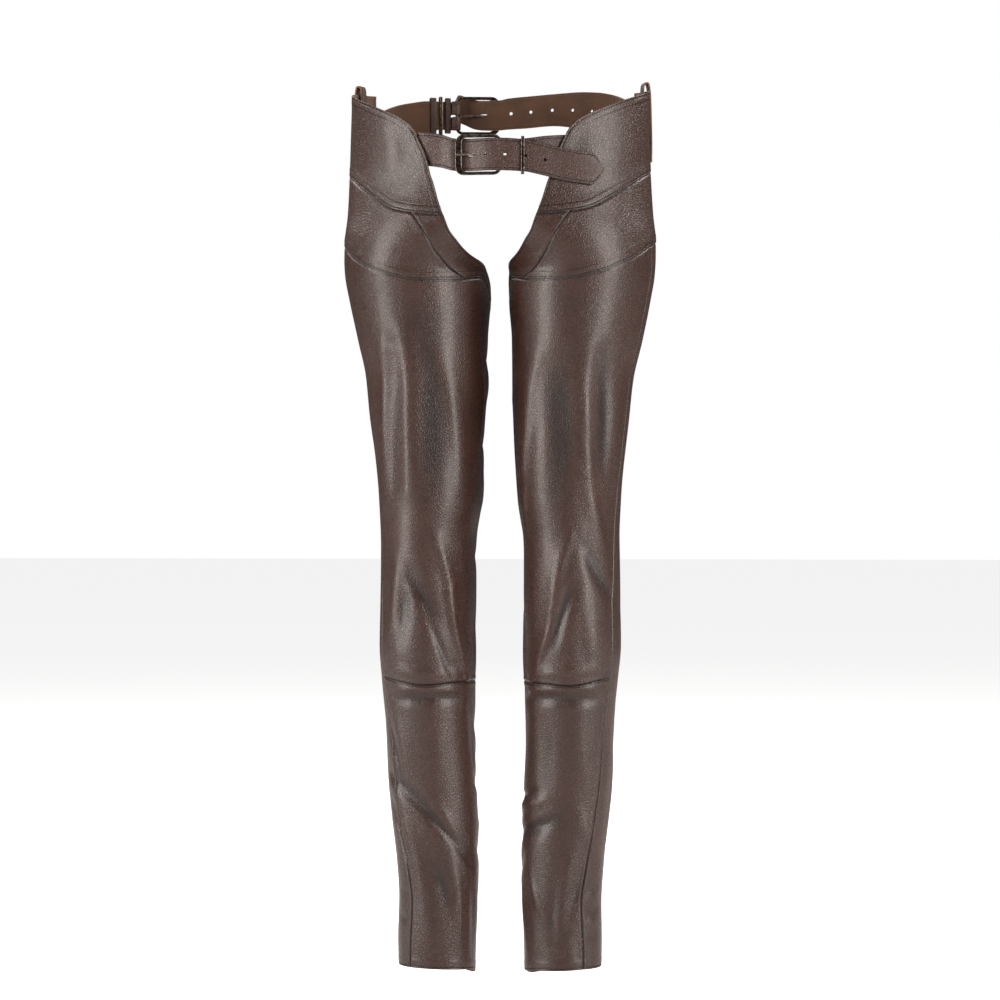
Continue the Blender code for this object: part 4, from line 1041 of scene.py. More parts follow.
# The pleated leather's pale is a bright painted highlight for the pleats' ridges, and its dark a painted
# shade for their grooves.
PLEAT_LEATHER = Leather(
    "pleated leather", (0.08, 0.034, 0.025), (0.004, 0.002, 0.0015), (0.25, 0.15, 0.125),
    roughness=0.33, grain=900.0, depth=0.3, coat=0.2,
)
TRIM_LEATHER = Leather(
    "trim leather", (0.055, 0.024, 0.017), (0.010, 0.004, 0.003), (0.12, 0.056, 0.036),
    roughness=0.42, grain=560.0, depth=0.5,
)
BELT_LEATHER = Leather(
    "belt leather", (0.07, 0.028, 0.019), (0.009, 0.004, 0.003), (0.12, 0.06, 0.045),
    roughness=0.36, grain=330.0, depth=0.7, coat=0.25,
)
BACK_BELT_LEATHER = Leather(
    "back belt leather", (0.09, 0.034, 0.022), (0.014, 0.006, 0.004), (0.14, 0.066, 0.045),
    roughness=0.4, grain=450.0, depth=0.5, coat=0.2,
)
FLESH_SIDE = Suede("flesh side", (0.135, 0.062, 0.031), (0.062, 0.030, 0.016))
CUT_EDGE = Suede("cut edge", (0.30, 0.155, 0.075), (0.12, 0.055, 0.028), sheen=0.1)
DARK_EDGE = Suede("dyed edge", (0.06, 0.03, 0.02), (0.02, 0.01, 0.008), sheen=0.1)
ANTIQUE = Metal("antique metal", (0.012, 0.010, 0.009), (0.30, 0.25, 0.21), roughness=0.32)
BLACKENED = Metal("blackened metal", (0.02, 0.02, 0.021), (0.2, 0.2, 0.21), roughness=0.4)
ZIP_TEETH = Metal("zip teeth", (0.012, 0.012, 0.012), (0.08, 0.08, 0.085), roughness=0.5)
ZIP_TAPE = Woven("zip tape", (0.002, 0.002, 0.002), (0.008, 0.007, 0.007))
THREAD = Woven("sewing thread", (0.016, 0.007, 0.005), (0.045, 0.02, 0.013), pitch=0.0007, roughness=0.6)


def dress(obj: bpy.types.Object, *finishes: object) -> None:
    """Gives a piece its materials, in order."""
    obj.data.materials.clear()
    for finish in finishes:
        obj.data.materials.append(finish.material())


def fit(obj: bpy.types.Object, slot: str, *nodes: str, body: str = GARMENT) -> None:
    """Hangs a piece on its body in place of its solids, and logs it."""
    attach(obj, body)
    if nodes:
        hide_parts(*nodes)
    LOG.info("%s: %d faces", obj.name, len(obj.data.polygons))


# -----------------------------------------------------------------------------
# Sewn leather
# -----------------------------------------------------------------------------

STITCH_ROWS = (2.4, 9.0)
FINE_LINES = (0.5, 1.2, 1.8, 2.4, 3.0, 3.9, 5.4, 7.2, 8.3, 9.0, 9.7, 10.9, 13.0)
STITCH_GROOVE = 0.35
UNDERLAP = 3.0  # how far leather runs on under its neighbour
NARROWEST_SHEET = 0.0101  # metres, under which a strip is too narrow for a row of the cut
FAR = 30.0  # a distance from which no painted shade of a seam or a row of stitches shows in a finish


@dataclass(frozen=True)
class Seam:
    """One edge of a panel: its line, how it ends there and the distances of its rows of top stitching."""

    line: np.ndarray
    kind: SeamKind
    rows: tuple[float, ...] = ()

    def relief(self, far: np.ndarray) -> np.ndarray:
        """How the seam shapes the leather, by the distance from it."""
        rise = np.zeros_like(far)
        if self.kind is SeamKind.OVER:
            rise += 0.45 * (1 - smoothstep(10.2, 13.0, far)) - 0.3 * bell(far, 0.5)
        elif self.kind is SeamKind.UNDER:
            rise -= 0.8 * (1 - smoothstep(0.3, 3.4, far))
        elif self.kind is SeamKind.CLOSED:
            rise += 0.3 * bell(far - 3.0, 2.4) - 1.1 * bell(far, 0.9)
        elif self.kind is SeamKind.FREE:
            rise += 0.35 * (1 - smoothstep(9.0, 13.0, far)) - 0.25 * bell(far, 0.5)
        for row in self.rows:
            rise -= STITCH_GROOVE * bell(far - row, 0.8)
        return rise


@dataclass
class Sewing:
    """All the stitches of one side, or of the belts, in one joined mesh."""

    name: str
    mirrored: bool = False
    pitch: float = 3.4
    length: float = 1.25  # half of a stitch
    width: float = 0.5
    proud: float = 0.36
    places: list[np.ndarray] = field(default_factory=list)

    def row(self, points: np.ndarray, outs: np.ndarray) -> None:
        """Sews along a row of points in millimetres, with the directions outward."""
        steps = np.linalg.norm(np.diff(points, axis=0), axis=1)
        along = np.concatenate([[0.0], np.cumsum(steps)])
        count = int((along[-1] - self.pitch) / self.pitch)
        if count < 2:
            return
        at = self.pitch + np.arange(count) * (along[-1] - self.pitch) / count
        spots = np.stack([np.interp(at, along, points[:, k]) for k in range(3)], axis=-1)
        ways = np.stack([np.interp(at, along, outs[:, k]) for k in range(3)], axis=-1)
        self.places.append(frames_along(spots, ways, self.mirrored))

    def build(self) -> bpy.types.Object:
        """Makes the stitches."""
        stitch = add_primitive(bpy.ops.mesh.primitive_uv_sphere_add, "stitch", segments=6, ring_count=3,
                               radius=1.0, scale=(self.length, self.width, self.proud))
        obj = stamp(self.name, stitch, np.concatenate(self.places))
        dress(obj, THREAD)
        fit(obj, "trim_leather")
        return obj


@dataclass
class Panel:
    """One cut piece of leather or tape on the form."""

    name: str
    side: Side
    patch: Patch
    seams: list[Seam]
    finishes: tuple
    slot: str = "grain_leather"
    wall: float = 1.4
    lift: float = 0.0
    step: float = 4.0
    grown: dict[str, float] = field(default_factory=dict)  # how far an edge runs on under its neighbour
    held: str = "hung"
    gather: float = 1.0  # flat cloth for each width of gathered cloth
    texture: Callable[[np.ndarray], np.ndarray] | None = None
    columns: np.ndarray | None = None
    rows: np.ndarray | None = None
    trees: list[KDTree] = field(default_factory=list)

    def node(self) -> str:
        """The name of the solid that the panel stands for."""
        return f"{self.side.value}_{self.name}"

    def distances(self, places: np.ndarray) -> list[np.ndarray]:
        """How far places are from each seam, in millimetres."""
        if not self.trees:
            for seam in self.seams:
                line = FORM.section(FORM.measured(seam.line, 0.6))
                tree = KDTree(len(line))
                for k, point in enumerate(line):
                    tree.insert(point, k)
                tree.balance()
                self.trees.append(tree)
        points = FORM.section(places)
        return [np.array([tree.find(point)[2] for point in points]) for tree in self.trees]

    def rise(self, places: np.ndarray) -> tuple[np.ndarray, np.ndarray, np.ndarray, np.ndarray]:
        """Finds the panel's relief.

        Args:
            places: Places on the panel.

        Returns:
            The lift off the form, the distances to the nearest seam and the nearest row of stitches, and the
            rise of the creases.
        """
        far = self.distances(places)
        folds = CREASES[self.side].rise(places)
        lift = self.lift + folds
        sewn, nearest = np.full(len(places), FAR), np.full(len(places), FAR)
        for seam, distance in zip(self.seams, far):
            lift = lift + seam.relief(distance)
            for row in seam.rows:
                sewn = np.minimum(sewn, np.abs(distance - row))
            if seam.kind not in (SeamKind.FREE, SeamKind.BARE):
                nearest = np.minimum(nearest, distance)
        if self.texture:
            lift = lift + self.texture(places)
        return lift, nearest, sewn, folds

    def shape(self, u: np.ndarray, v: np.ndarray) -> tuple[np.ndarray, dict[str, np.ndarray]]:
        """The points of the panel and what its finish reads."""
        places = self.patch.at(u, v)
        lift, nearest, sewn, folds = self.rise(places)
        # The pleats' relief, tripled and raised by 1.5, feeds fold_mm so the finish paints highlight on their
        # ridges and shade in their grooves.
        if self.texture:
            folds = folds + 3.0 * self.texture(places) + 1.5
        # seam_mm and row_mm set painted shade along seams and rows of stitches, and fold_mm sets painted
        # shade in troughs and painted highlight on ridges.
        return FORM.point(places, lift), {"seam_mm": nearest, "row_mm": sewn, "fold_mm": folds}

    def lines(self, length: float, given: np.ndarray | None, start: str, end: str) -> np.ndarray:
        """The grid's lines between two edges, run on where an edge is grown."""
        shares = lines_along(length, self.step, FINE_LINES, FINE_LINES) if given is None else given
        before = [-self.grown[start] / length] if start in self.grown else []
        after = [1 + self.grown[end] / length] if end in self.grown else []
        return np.concatenate([before, shares, after])

    def build(self, sewing: Sewing | None = None) -> bpy.types.Object:
        """Cuts, shapes and sews the panel.

        Args:
            sewing: Where its stitches go.

        Returns:
            The panel.
        """
        width, length, area = self.patch.size()
        across = self.lines(width, self.columns, "front", "rear")
        along = self.lines(length, self.rows, "foot", "top")
        obj = cloth_grid(f"{self.node()}_cloth", across, along, self.shape, self.side)
        dress(obj, *self.finishes)
        thicken(obj, self.wall)
        smooth(obj, CLOTH_EDGE)
        fit(obj, self.slot, self.node())
        flat = (width * self.gather * MM, length * MM)
        if min(flat) > NARROWEST_SHEET:
            area = min(area * self.gather * MM * MM, flat[0] * flat[1])
            LOG.info("%s: cut %.0f x %.0f mm", obj.name, flat[0] / MM, flat[1] / MM)
        if sewing:
            self.sew(sewing)
        return obj

    def sew(self, sewing: Sewing) -> None:
        """Adds the panel's rows of stitches."""
        for seam in self.seams:
            towards = self.patch.inside_of(seam.line)
            for row in seam.rows:
                line = FORM.offset(seam.line, row, towards)
                lift = self.rise(line)[0]
                clear = np.min(self.distances(line), axis=0) > min(row, 2.0) - 0.5
                points = FORM.point(line, lift + 0.02)[clear]
                sewing.row(points, FORM.outward(line)[clear])


@dataclass(frozen=True)
class Smocking:
    """The pleats of a stretch panel, parallel to the zip and cut off by the seam behind."""

    pitches: tuple[tuple[float, float], ...]  # millimetres between pleats, by height
    seed: float
    depth: float = 2.3

    def phase(self, places: np.ndarray) -> np.ndarray:
        """How many pleats lie between the zip's edge and some places."""
        angle, height = places[..., 0], places[..., 1]
        edge = FORM.seam_angle("stretch_edge", height)
        shares = np.linspace(0, 1, 9)
        turns = edge[..., None] + (angle - edge)[..., None] * shares
        path = np.stack([turns, np.broadcast_to(height[..., None], turns.shape)], axis=-1)
        span = np.linalg.norm(np.diff(FORM.section(path), axis=-2), axis=-1).sum(axis=-1)
        wander = 0.10 * np.sin(height / 17.0 + span / 9.0 + self.seed)
        wander = wander + 0.05 * np.sin(height / 7.3 + span / 4.0)
        return span * np.sign(angle - edge) / eased(*zip(*self.pitches), height) + wander

    def rise(self, places: np.ndarray) -> np.ndarray:
        """The pleats' relief."""
        phase = self.phase(places)
        height = places[..., 1]
        number = np.floor(phase)
        ridge = (0.5 - 0.5 * np.cos(2 * np.pi * phase)) ** 0.55
        own = np.sin(number * 12.9898 + self.seed) * 43.7  # a number of each pleat's own
        pucker = np.sin(height / (0.75 + 0.1 * np.sin(own)) + own + 2.2 * (phase - number))
        slow = np.sin(height / 6.1 + own * 1.7)
        return self.depth * (ridge - 0.85) + ridge * (0.24 * pucker + 0.22 * slow)


@dataclass
class Leg:
    """One leg of the chaps with its half of the hips."""

    side: Side
    sewing: Sewing = field(init=False)
    leather: tuple = (GRAIN_LEATHER, FLESH_SIDE, CUT_EDGE)
    trim: tuple = (TRIM_LEATHER, FLESH_SIDE, CUT_EDGE)

    def __post_init__(self) -> None:
        """Starts the leg's stitches."""
        self.sewing = Sewing(f"{self.side.value}_leg_stitches", mirrored=self.side is Side.RIGHT)

    def build(self) -> None:
        """Makes all the pieces of the leg."""
        panels = [self.yoke(), self.hip_panel(), self.gusset(), self.thigh(), self.shin(), self.strip()]
        for panel in (*panels, *self.tapes(), *self.stretch(), *self.bands(), self.facing()):
            panel.build(self.sewing)
        HipLoop(self.side).build()
        self.sewing.build()
        Zip(self.side).build()

    def yoke(self) -> Panel:
        """The upper yoke with its rounded front corner."""
        patch = Patch(FORM.across(TOP_EDGE, TOP_FRONT, TOP_REAR),
                      FORM.across(UPPER_YOKE_SEAM, YOKE_FRONT, YOKE_REAR),
                      FORM.across(FRONT_EDGE, TOP_FRONT, YOKE_FRONT), self.rear_edge())
        seams = [Seam(patch.top, SeamKind.FREE, STITCH_ROWS), Seam(patch.foot, SeamKind.OVER, STITCH_ROWS),
                 Seam(patch.front, SeamKind.FREE, STITCH_ROWS),
                 Seam(patch.rear, SeamKind.FREE, STITCH_ROWS[:1])]
        return Panel("yoke", self.side, patch, seams, self.leather)

    @staticmethod
    def rear_edge() -> np.ndarray:
        """The yoke's rear edge, from the top down."""
        angles, heights = zip(*REAR_EDGE)
        down = np.linspace(max(heights), min(heights), 80)
        return FORM.measured(np.stack([eased(heights, angles, down), down], axis=-1))

    @staticmethod
    def diagonal() -> np.ndarray:
        """The diagonal seam from the upper to the lower yoke seam."""
        top = (DIAGONAL_TOP, float(eased(*zip(*UPPER_YOKE_SEAM), np.array(DIAGONAL_TOP))))
        foot = (DIAGONAL_FOOT, float(eased(*zip(*LOWER_YOKE_SEAM), np.array(DIAGONAL_FOOT))))
        angles = np.linspace(DIAGONAL_TOP, DIAGONAL_FOOT, 120)
        heights = eased(*zip(top, *DIAGONAL_BETWEEN, foot), angles)
        return FORM.measured(np.stack([angles, heights], axis=-1))

    def hip_panel(self) -> Panel:
        """The panel between the curved yoke seams."""
        patch = Patch(FORM.across(UPPER_YOKE_SEAM, DIAGONAL_TOP, YOKE_REAR),
                      FORM.across(LOWER_YOKE_SEAM, DIAGONAL_FOOT, HIP_REAR),
                      self.diagonal(), FORM.straight(UPPER_YOKE_SEAM[-1], LOWER_YOKE_SEAM[-1]))
        seams = [Seam(patch.top, SeamKind.UNDER), Seam(patch.foot, SeamKind.OVER, STITCH_ROWS),
                 Seam(patch.front, SeamKind.CLOSED), Seam(patch.rear, SeamKind.FREE, STITCH_ROWS[:1])]
        return Panel("hip_panel", self.side, patch, seams, self.leather, grown={"top": UNDERLAP})

    def gusset(self) -> Panel:
        """The gusset from the open front edge, round the inner thigh to the back."""
        crotch = FORM.across(CROTCH_EDGE, BACK_CORNER, INNER)
        front_edge = FORM.across(FRONT_EDGE, INNER, YOKE_FRONT)
        under = FORM.across(LOWER_YOKE_SEAM, BACK_CORNER, DIAGONAL_FOOT)
        slant = self.diagonal()[::-1]
        patch = Patch(FORM.measured(np.concatenate([crotch, front_edge[1:]])),
                      FORM.measured(np.concatenate([under, slant[1:]])),
                      FORM.straight(CROTCH_EDGE[0], LOWER_YOKE_SEAM[0]),
                      FORM.across(UPPER_YOKE_SEAM, YOKE_FRONT, DIAGONAL_TOP))
        seams = [Seam(patch.top, SeamKind.FREE, STITCH_ROWS[:1]), Seam(under, SeamKind.OVER, STITCH_ROWS),
                 Seam(slant, SeamKind.CLOSED), Seam(patch.front, SeamKind.BARE),
                 Seam(patch.rear, SeamKind.UNDER)]
        return Panel("gusset", self.side, patch, seams, self.leather, grown={"rear": UNDERLAP})

    def thigh(self) -> Panel:
        """The leg panel above the knee."""
        patch = Patch(FORM.across(LOWER_YOKE_SEAM, BACK_CORNER, OUTER_AT_YOKE),
                      FORM.across(KNEE_SEAM, BACK_AT_KNEE, OUTER_AT_KNEE),
                      FORM.upright("back_seam", BACK_TOP, BACK_KNEE),
                      FORM.upright("outer_seam", OUTER_TOP, OUTER_KNEE))
        seams = [Seam(patch.top, SeamKind.UNDER), Seam(patch.foot, SeamKind.CLOSED),
                 Seam(patch.front, SeamKind.CLOSED), Seam(patch.rear, SeamKind.CLOSED)]
        return Panel("thigh", self.side, patch, seams, self.leather, grown={"top": UNDERLAP})

    def shin(self) -> Panel:
        """The leg panel below the knee, with its rounded point behind."""
        patch = Patch(FORM.across(KNEE_SEAM, BACK_AT_KNEE, OUTER_AT_KNEE),
                      FORM.across(HEM, BACK_AT_HEM, OUTER_AT_HEM),
                      FORM.upright("back_seam", BACK_KNEE, BACK_FOOT),
                      FORM.upright("outer_seam", OUTER_KNEE, HEM_LEVEL))
        seams = [Seam(patch.top, SeamKind.CLOSED, STITCH_ROWS[:1]),
                 Seam(patch.foot, SeamKind.FREE, STITCH_ROWS[:1]),
                 Seam(patch.front, SeamKind.BARE), Seam(patch.rear, SeamKind.CLOSED)]
        return Panel("shin", self.side, patch, seams, self.leather)

    def strip(self) -> Panel:
        """The outer strip that carries the zip."""
        corner = np.array(STRIP_FOOT, float)[:, ::-1]
        rear = np.concatenate([FORM.upright("strip_edge", STRIP_EDGE_TOP, STRIP_FOOT[0][0] + 1), corner])
        patch = Patch(FORM.across(LOWER_YOKE_SEAM, OUTER_AT_YOKE, HIP_REAR),
                      FORM.straight((OUTER_AT_HEM, HEM_LEVEL), (STRIP_FOOT[-1][1], HEM_LEVEL)),
                      FORM.upright("outer_seam", OUTER_TOP, HEM_LEVEL), FORM.measured(rear))
        seams = [Seam(patch.top, SeamKind.UNDER), Seam(patch.foot, SeamKind.FREE, STITCH_ROWS[:1]),
                 Seam(patch.front, SeamKind.CLOSED), Seam(patch.rear, SeamKind.FREE, STITCH_ROWS)]
        return Panel("outer_strip", self.side, patch, seams, self.leather, grown={"top": UNDERLAP})

    def tapes(self) -> list[Panel]:
        """The zip's two tapes, each under the leather on its outer side."""
        strip_edge, coil, stretch_edge = (
            FORM.upright(name, ZIP_TOP, ZIP_FOOT) for name in ("strip_edge", "coil", "stretch_edge")
        )
        panels = []
        for name, patch, under in (
            ("front", Patch.between(strip_edge, coil), "front"),
            ("back", Patch.between(coil, stretch_edge), "rear"),
        ):
            seams = [Seam(getattr(patch, under), SeamKind.UNDER)]
            panels.append(Panel(
                f"zip_tape_{name}", self.side, patch, seams, (ZIP_TAPE,), slot="zip_tape", wall=0.8,
                lift=-0.5, grown={under: 2.0}, columns=np.linspace(0, 1, 7),
            ))
        return panels

    @staticmethod
    def stretch_patch(top: float, foot: float, drop: tuple[float, float] = (0.0, 0.0)) -> Patch:
        """A patch between the zip and the seam behind, with how much its top and foot drop to the rear."""
        return Patch.between(
            FORM.upright("stretch_edge", top, foot),
            FORM.upright("back_seam", top + drop[0], foot + drop[1], turn=360),
        )

    def stretch(self) -> list[Panel]:
        """The two smocked stretch panels."""
        seed = 0.0 if self.side is Side.LEFT else 1.7
        upper = Smocking(((-190, 6.3), (-300, 5.6), (-446, 5.1), (-580, 5.0)), seed)
        lower = Smocking(((-580, 5.2), (-745, 5.4), (-950, 5.3)), seed + 0.8)
        above = self.stretch_patch(STRETCH_TOP - BAND_HEIGHT, CALF_BAND[0], (STRETCH_DROP, 0.0))
        below = self.stretch_patch(CALF_BAND[1], STRETCH_FOOT + BAND_HEIGHT)
        panels = []
        for name, smocking, patch in (("upper", upper, above), ("lower", lower, below)):
            seams = [Seam(patch.front, SeamKind.CLOSED), Seam(patch.rear, SeamKind.UNDER),
                     Seam(patch.top, SeamKind.UNDER), Seam(patch.foot, SeamKind.UNDER)]
            width, length, _ = patch.size()
            panels.append(Panel(
                f"stretch_{name}", self.side, patch, seams, (PLEAT_LEATHER, FLESH_SIDE, DARK_EDGE),
                slot="pleated_leather", wall=0.9, lift=0.4, held="gathered", gather=1.25,
                texture=smocking.rise, grown={"top": 4.0, "foot": 4.0},
                columns=np.linspace(0, 1, int(width / 0.8)), rows=np.linspace(0, 1, int(length / 2.5)),
            ))
        return panels

    def bands(self) -> list[Panel]:
        """The bindings of the stretch panels and the band between them."""
        slant = (STRETCH_DROP, STRETCH_DROP)
        panels = []
        for name, patch in (
            ("stretch_top_binding", self.stretch_patch(STRETCH_TOP, STRETCH_TOP - BAND_HEIGHT, slant)),
            ("calf_band", self.stretch_patch(*CALF_BAND)),
            ("stretch_foot_binding", self.stretch_patch(STRETCH_FOOT + BAND_HEIGHT, STRETCH_FOOT)),
        ):
            seams = [Seam(patch.top, SeamKind.FREE), Seam(patch.foot, SeamKind.FREE, (2.2,))]
            panels.append(Panel(
                name, self.side, patch, seams, self.trim, slot="trim_leather", wall=1.6, lift=0.9,
                texture=self.puckers, columns=lines_along(patch.size()[0], 1.6), rows=np.linspace(0, 1, 14),
            ))
        return panels

    @staticmethod
    def puckers(places: np.ndarray) -> np.ndarray:
        """The small puckers of a binding that gathered leather pulls at."""
        angle, height = places[..., 0], places[..., 1]
        return 0.28 * np.sin(angle * 1.37 + 0.2 * height) * np.sin(angle * 0.61 + 0.4)

    def facing(self) -> Panel:
        """The narrow folded strip over the seam behind the leg."""
        front, rear = (FORM.upright("back_seam", FACING_TOP, FACING_FOOT, turn) for turn in (0.6, 7.6))
        seams = [Seam(front, SeamKind.FREE, (1.6,)), Seam(rear, SeamKind.FREE, (1.6,))]
        return Panel("seam_facing", self.side, Patch.between(front, rear), seams, self.trim, wall=1.0,
                     slot="trim_leather", lift=1.5, columns=np.linspace(0, 1, 15), step=3.0)


@dataclass
class HipLoop:
    """The narrow strap folded over the top edge at the hip."""

    side: Side
    angle: float = 103.0
    half: float = 6.5  # half of its width
    wall: float = 1.7
    row: float = 2.0  # from its edges to their pressed lines
    route: tuple[tuple[float, float], ...] = (  # lifts off the form, and heights
        (2.6, -40), (3.4, -20), (3.6, 10), (3.4, 38), (2.6, 50), (0.6, 55), (-2.2, 55), (-4.6, 50),
        (-5.4, 38), (-5.4, 18), (-5.2, 0),
    )

    def build(self) -> None:
        """Makes the strap."""
        base = FORM.section(np.array((self.angle, 0.0)))
        out = FORM.level_out((self.angle, 0.0))
        width_way = np.cross((0, 0, 1), out)
        aside = base - out * (base @ out)
        aside[2] = 0
        spots = np.array([(FORM.section(np.array((self.angle, height))) @ out + lift, height)
                          for lift, height in self.route])
        along = np.concatenate([[0.0], np.cumsum(np.linalg.norm(np.diff(spots, axis=0), axis=1))])

        def shape(u: np.ndarray, v: np.ndarray) -> tuple[np.ndarray, dict[str, np.ndarray]]:
            """The strap's points."""
            far, height = (eased(along, spots[:, k], v * along[-1]) for k in (0, 1))
            across = (u * 2 - 1) * self.half
            edge = np.minimum(u, 1 - u) * 2 * self.half
            line = edge - self.row
            lift = -0.35 * bell(edge, 0.8) - 0.2 * bell(line, 0.7)
            points = aside + np.outer(across, width_way) + np.outer(far + lift, out)
            points[:, 2] += height
            # The finish paints shade along the strap's edges and pressed lines.
            return points, {"seam_mm": edge, "row_mm": np.abs(line), "fold_mm": np.zeros_like(edge)}

        name = f"{self.side.value}_hip_loop"
        lines = lines_along(along[-1], 1.8)
        obj = cloth_grid(f"{name}_strap", np.linspace(0, 1, 21), lines, shape, self.side)
        dress(obj, TRIM_LEATHER, FLESH_SIDE, CUT_EDGE)
        thicken(obj, self.wall, offset=0.0)
        smooth(obj, CLOTH_EDGE)
        fit(obj, "trim_leather", name)



# -----------------------------------------------------------------------------
# Zips
# -----------------------------------------------------------------------------


def finish_metal(obj: bpy.types.Object, place: Matrix, finish: Metal) -> None:
    """Stores how sharply a metal piece turns, for its worn edges, and stands it in its place, finished."""
    mesh = bmesh.new()
    mesh.from_mesh(obj.data)
    sharp = [max((edge.calc_face_angle(0.0) for edge in vert.link_edges), default=0.0) for vert in mesh.verts]
    mesh.free()
    store(obj, edge=np.clip(np.array(sharp) * 1.6, 0, 1))
    obj.data.transform(place)
    smooth(obj, TRIM_EDGE)
    dress(obj, finish)


@dataclass
class Zip:
    """The teeth, slider and pull of one zip."""

    side: Side
    pitch: float = 1.3
    tooth: tuple[float, float, float] = (0.8, 2.7, 1.5)
    stagger: float = 0.65  # degrees from the middle of the zip to the middle of a tooth
    plate: tuple[float, float, float] = (9.0, 12.0, 2.3)
    plate_lift: float = 1.4
    bail: tuple[float, float] = (2.7, 0.75)  # radius of the ring and of its wire
    bail_lift: float = 3.8
    pull_width: float = 9.0
    pull_height: float = 24.0
    wire: float = 0.85
    pivot_lift: float = 4.3

    def build(self) -> None:
        """Makes the zip's hard pieces."""
        self.teeth()
        place = np.array((float(FORM.seam_angle("coil", np.array(SLIDER_HEIGHT))), SLIDER_HEIGHT))
        flip = np.array((self.side.sign, 1, 1))
        stand = facing(FORM.section(place) * flip, FORM.level_out(place) * flip)
        self.slider(stand)
        self.pull(stand)

    def teeth(self) -> None:
        """The closed teeth, in two rows that mesh."""
        tooth = add_primitive(bpy.ops.mesh.primitive_cube_add, "tooth", size=1.0, scale=self.tooth)
        round_edges(tooth, 0.22, 1)
        middle = FORM.measured(FORM.upright("coil", ZIP_TOP - 2, ZIP_FOOT + 2), self.pitch)
        line = middle.copy()
        line[:, 0] += np.where(np.arange(len(line)) % 2, self.stagger, -self.stagger)
        lift = CREASES[self.side].rise(line) + 0.35
        places = frames_along(FORM.point(middle, lift), FORM.outward(middle), self.side is Side.RIGHT)
        places[:, :3, 3] = FORM.point(line, lift) * np.array((self.side.sign, 1, 1))
        obj = stamp(f"{self.side.value}_zip_teeth", tooth, places)
        dress(obj, ZIP_TEETH)
        fit(obj, "dark_metal")

    def slider(self, stand: Matrix) -> None:
        """The slider's body with its shoulders, and the bail that holds the pull."""
        body = add_primitive(bpy.ops.mesh.primitive_cube_add, "slider_body", size=1.0, scale=self.plate,
                             location=(0, 0, self.plate_lift))
        with editing(body):
            pick(body, "EDGE", lambda edge: abs(edge_way(edge).z) > NEARLY)
            bpy.ops.mesh.bevel(offset=2.4, segments=4)
            pick(body, "FACE", lambda face: face.normal.z > NEARLY)
            bpy.ops.mesh.inset(thickness=0.9, depth=0.0)
            bpy.ops.mesh.inset(thickness=0.25, depth=-0.3)
            pick(body, "FACE", lambda face: face.normal.y < -NEARLY)
            bpy.ops.transform.resize(value=(0.72, 1.0, 1.0))
        round_edges(body, 0.3, 2)
        bail = add_primitive(bpy.ops.mesh.primitive_torus_add, "slider_bail", major_radius=self.bail[0],
                             minor_radius=self.bail[1], major_segments=28, minor_segments=10,
                             rotation=(0, math.pi / 2, 0), location=(0, 0, self.bail_lift))
        activate(body)
        bail.select_set(True)
        bpy.ops.object.join()
        name = f"{self.side.value}_slider"
        body.name = body.data.name = f"{name}_body"
        finish_metal(body, stand, BLACKENED)
        fit(body, "dark_metal", name)

    def pull(self, stand: Matrix) -> None:
        """The oval ring that hangs in the bail."""
        half = self.pull_width / 2
        ring = add_primitive(bpy.ops.mesh.primitive_torus_add, f"{self.side.value}_pull_ring",
                             major_radius=half, minor_radius=self.wire, major_segments=44, minor_segments=10)
        with editing(ring):
            for sign in (1, -1):
                bpy.ops.mesh.select_mode(type="VERT")
                bpy.ops.mesh.select_all(action="DESELECT")
                mesh = bmesh.from_edit_mesh(ring.data)
                for vert in mesh.verts:
                    vert.select_set(vert.co.y * sign > 0.2)
                bmesh.update_edit_mesh(ring.data)
                bpy.ops.transform.translate(value=(0, sign * (self.pull_height / 2 - half), 0))
            bpy.ops.mesh.select_all(action="SELECT")
            bpy.ops.transform.translate(value=(0, -self.pull_height / 2, self.pivot_lift))
        finish_metal(ring, stand, BLACKENED)
        fit(ring, "dark_metal", f"{self.side.value}_pull", body=f"{self.side.value}_pull_tab")


# -----------------------------------------------------------------------------
# Belts and buckles
# -----------------------------------------------------------------------------


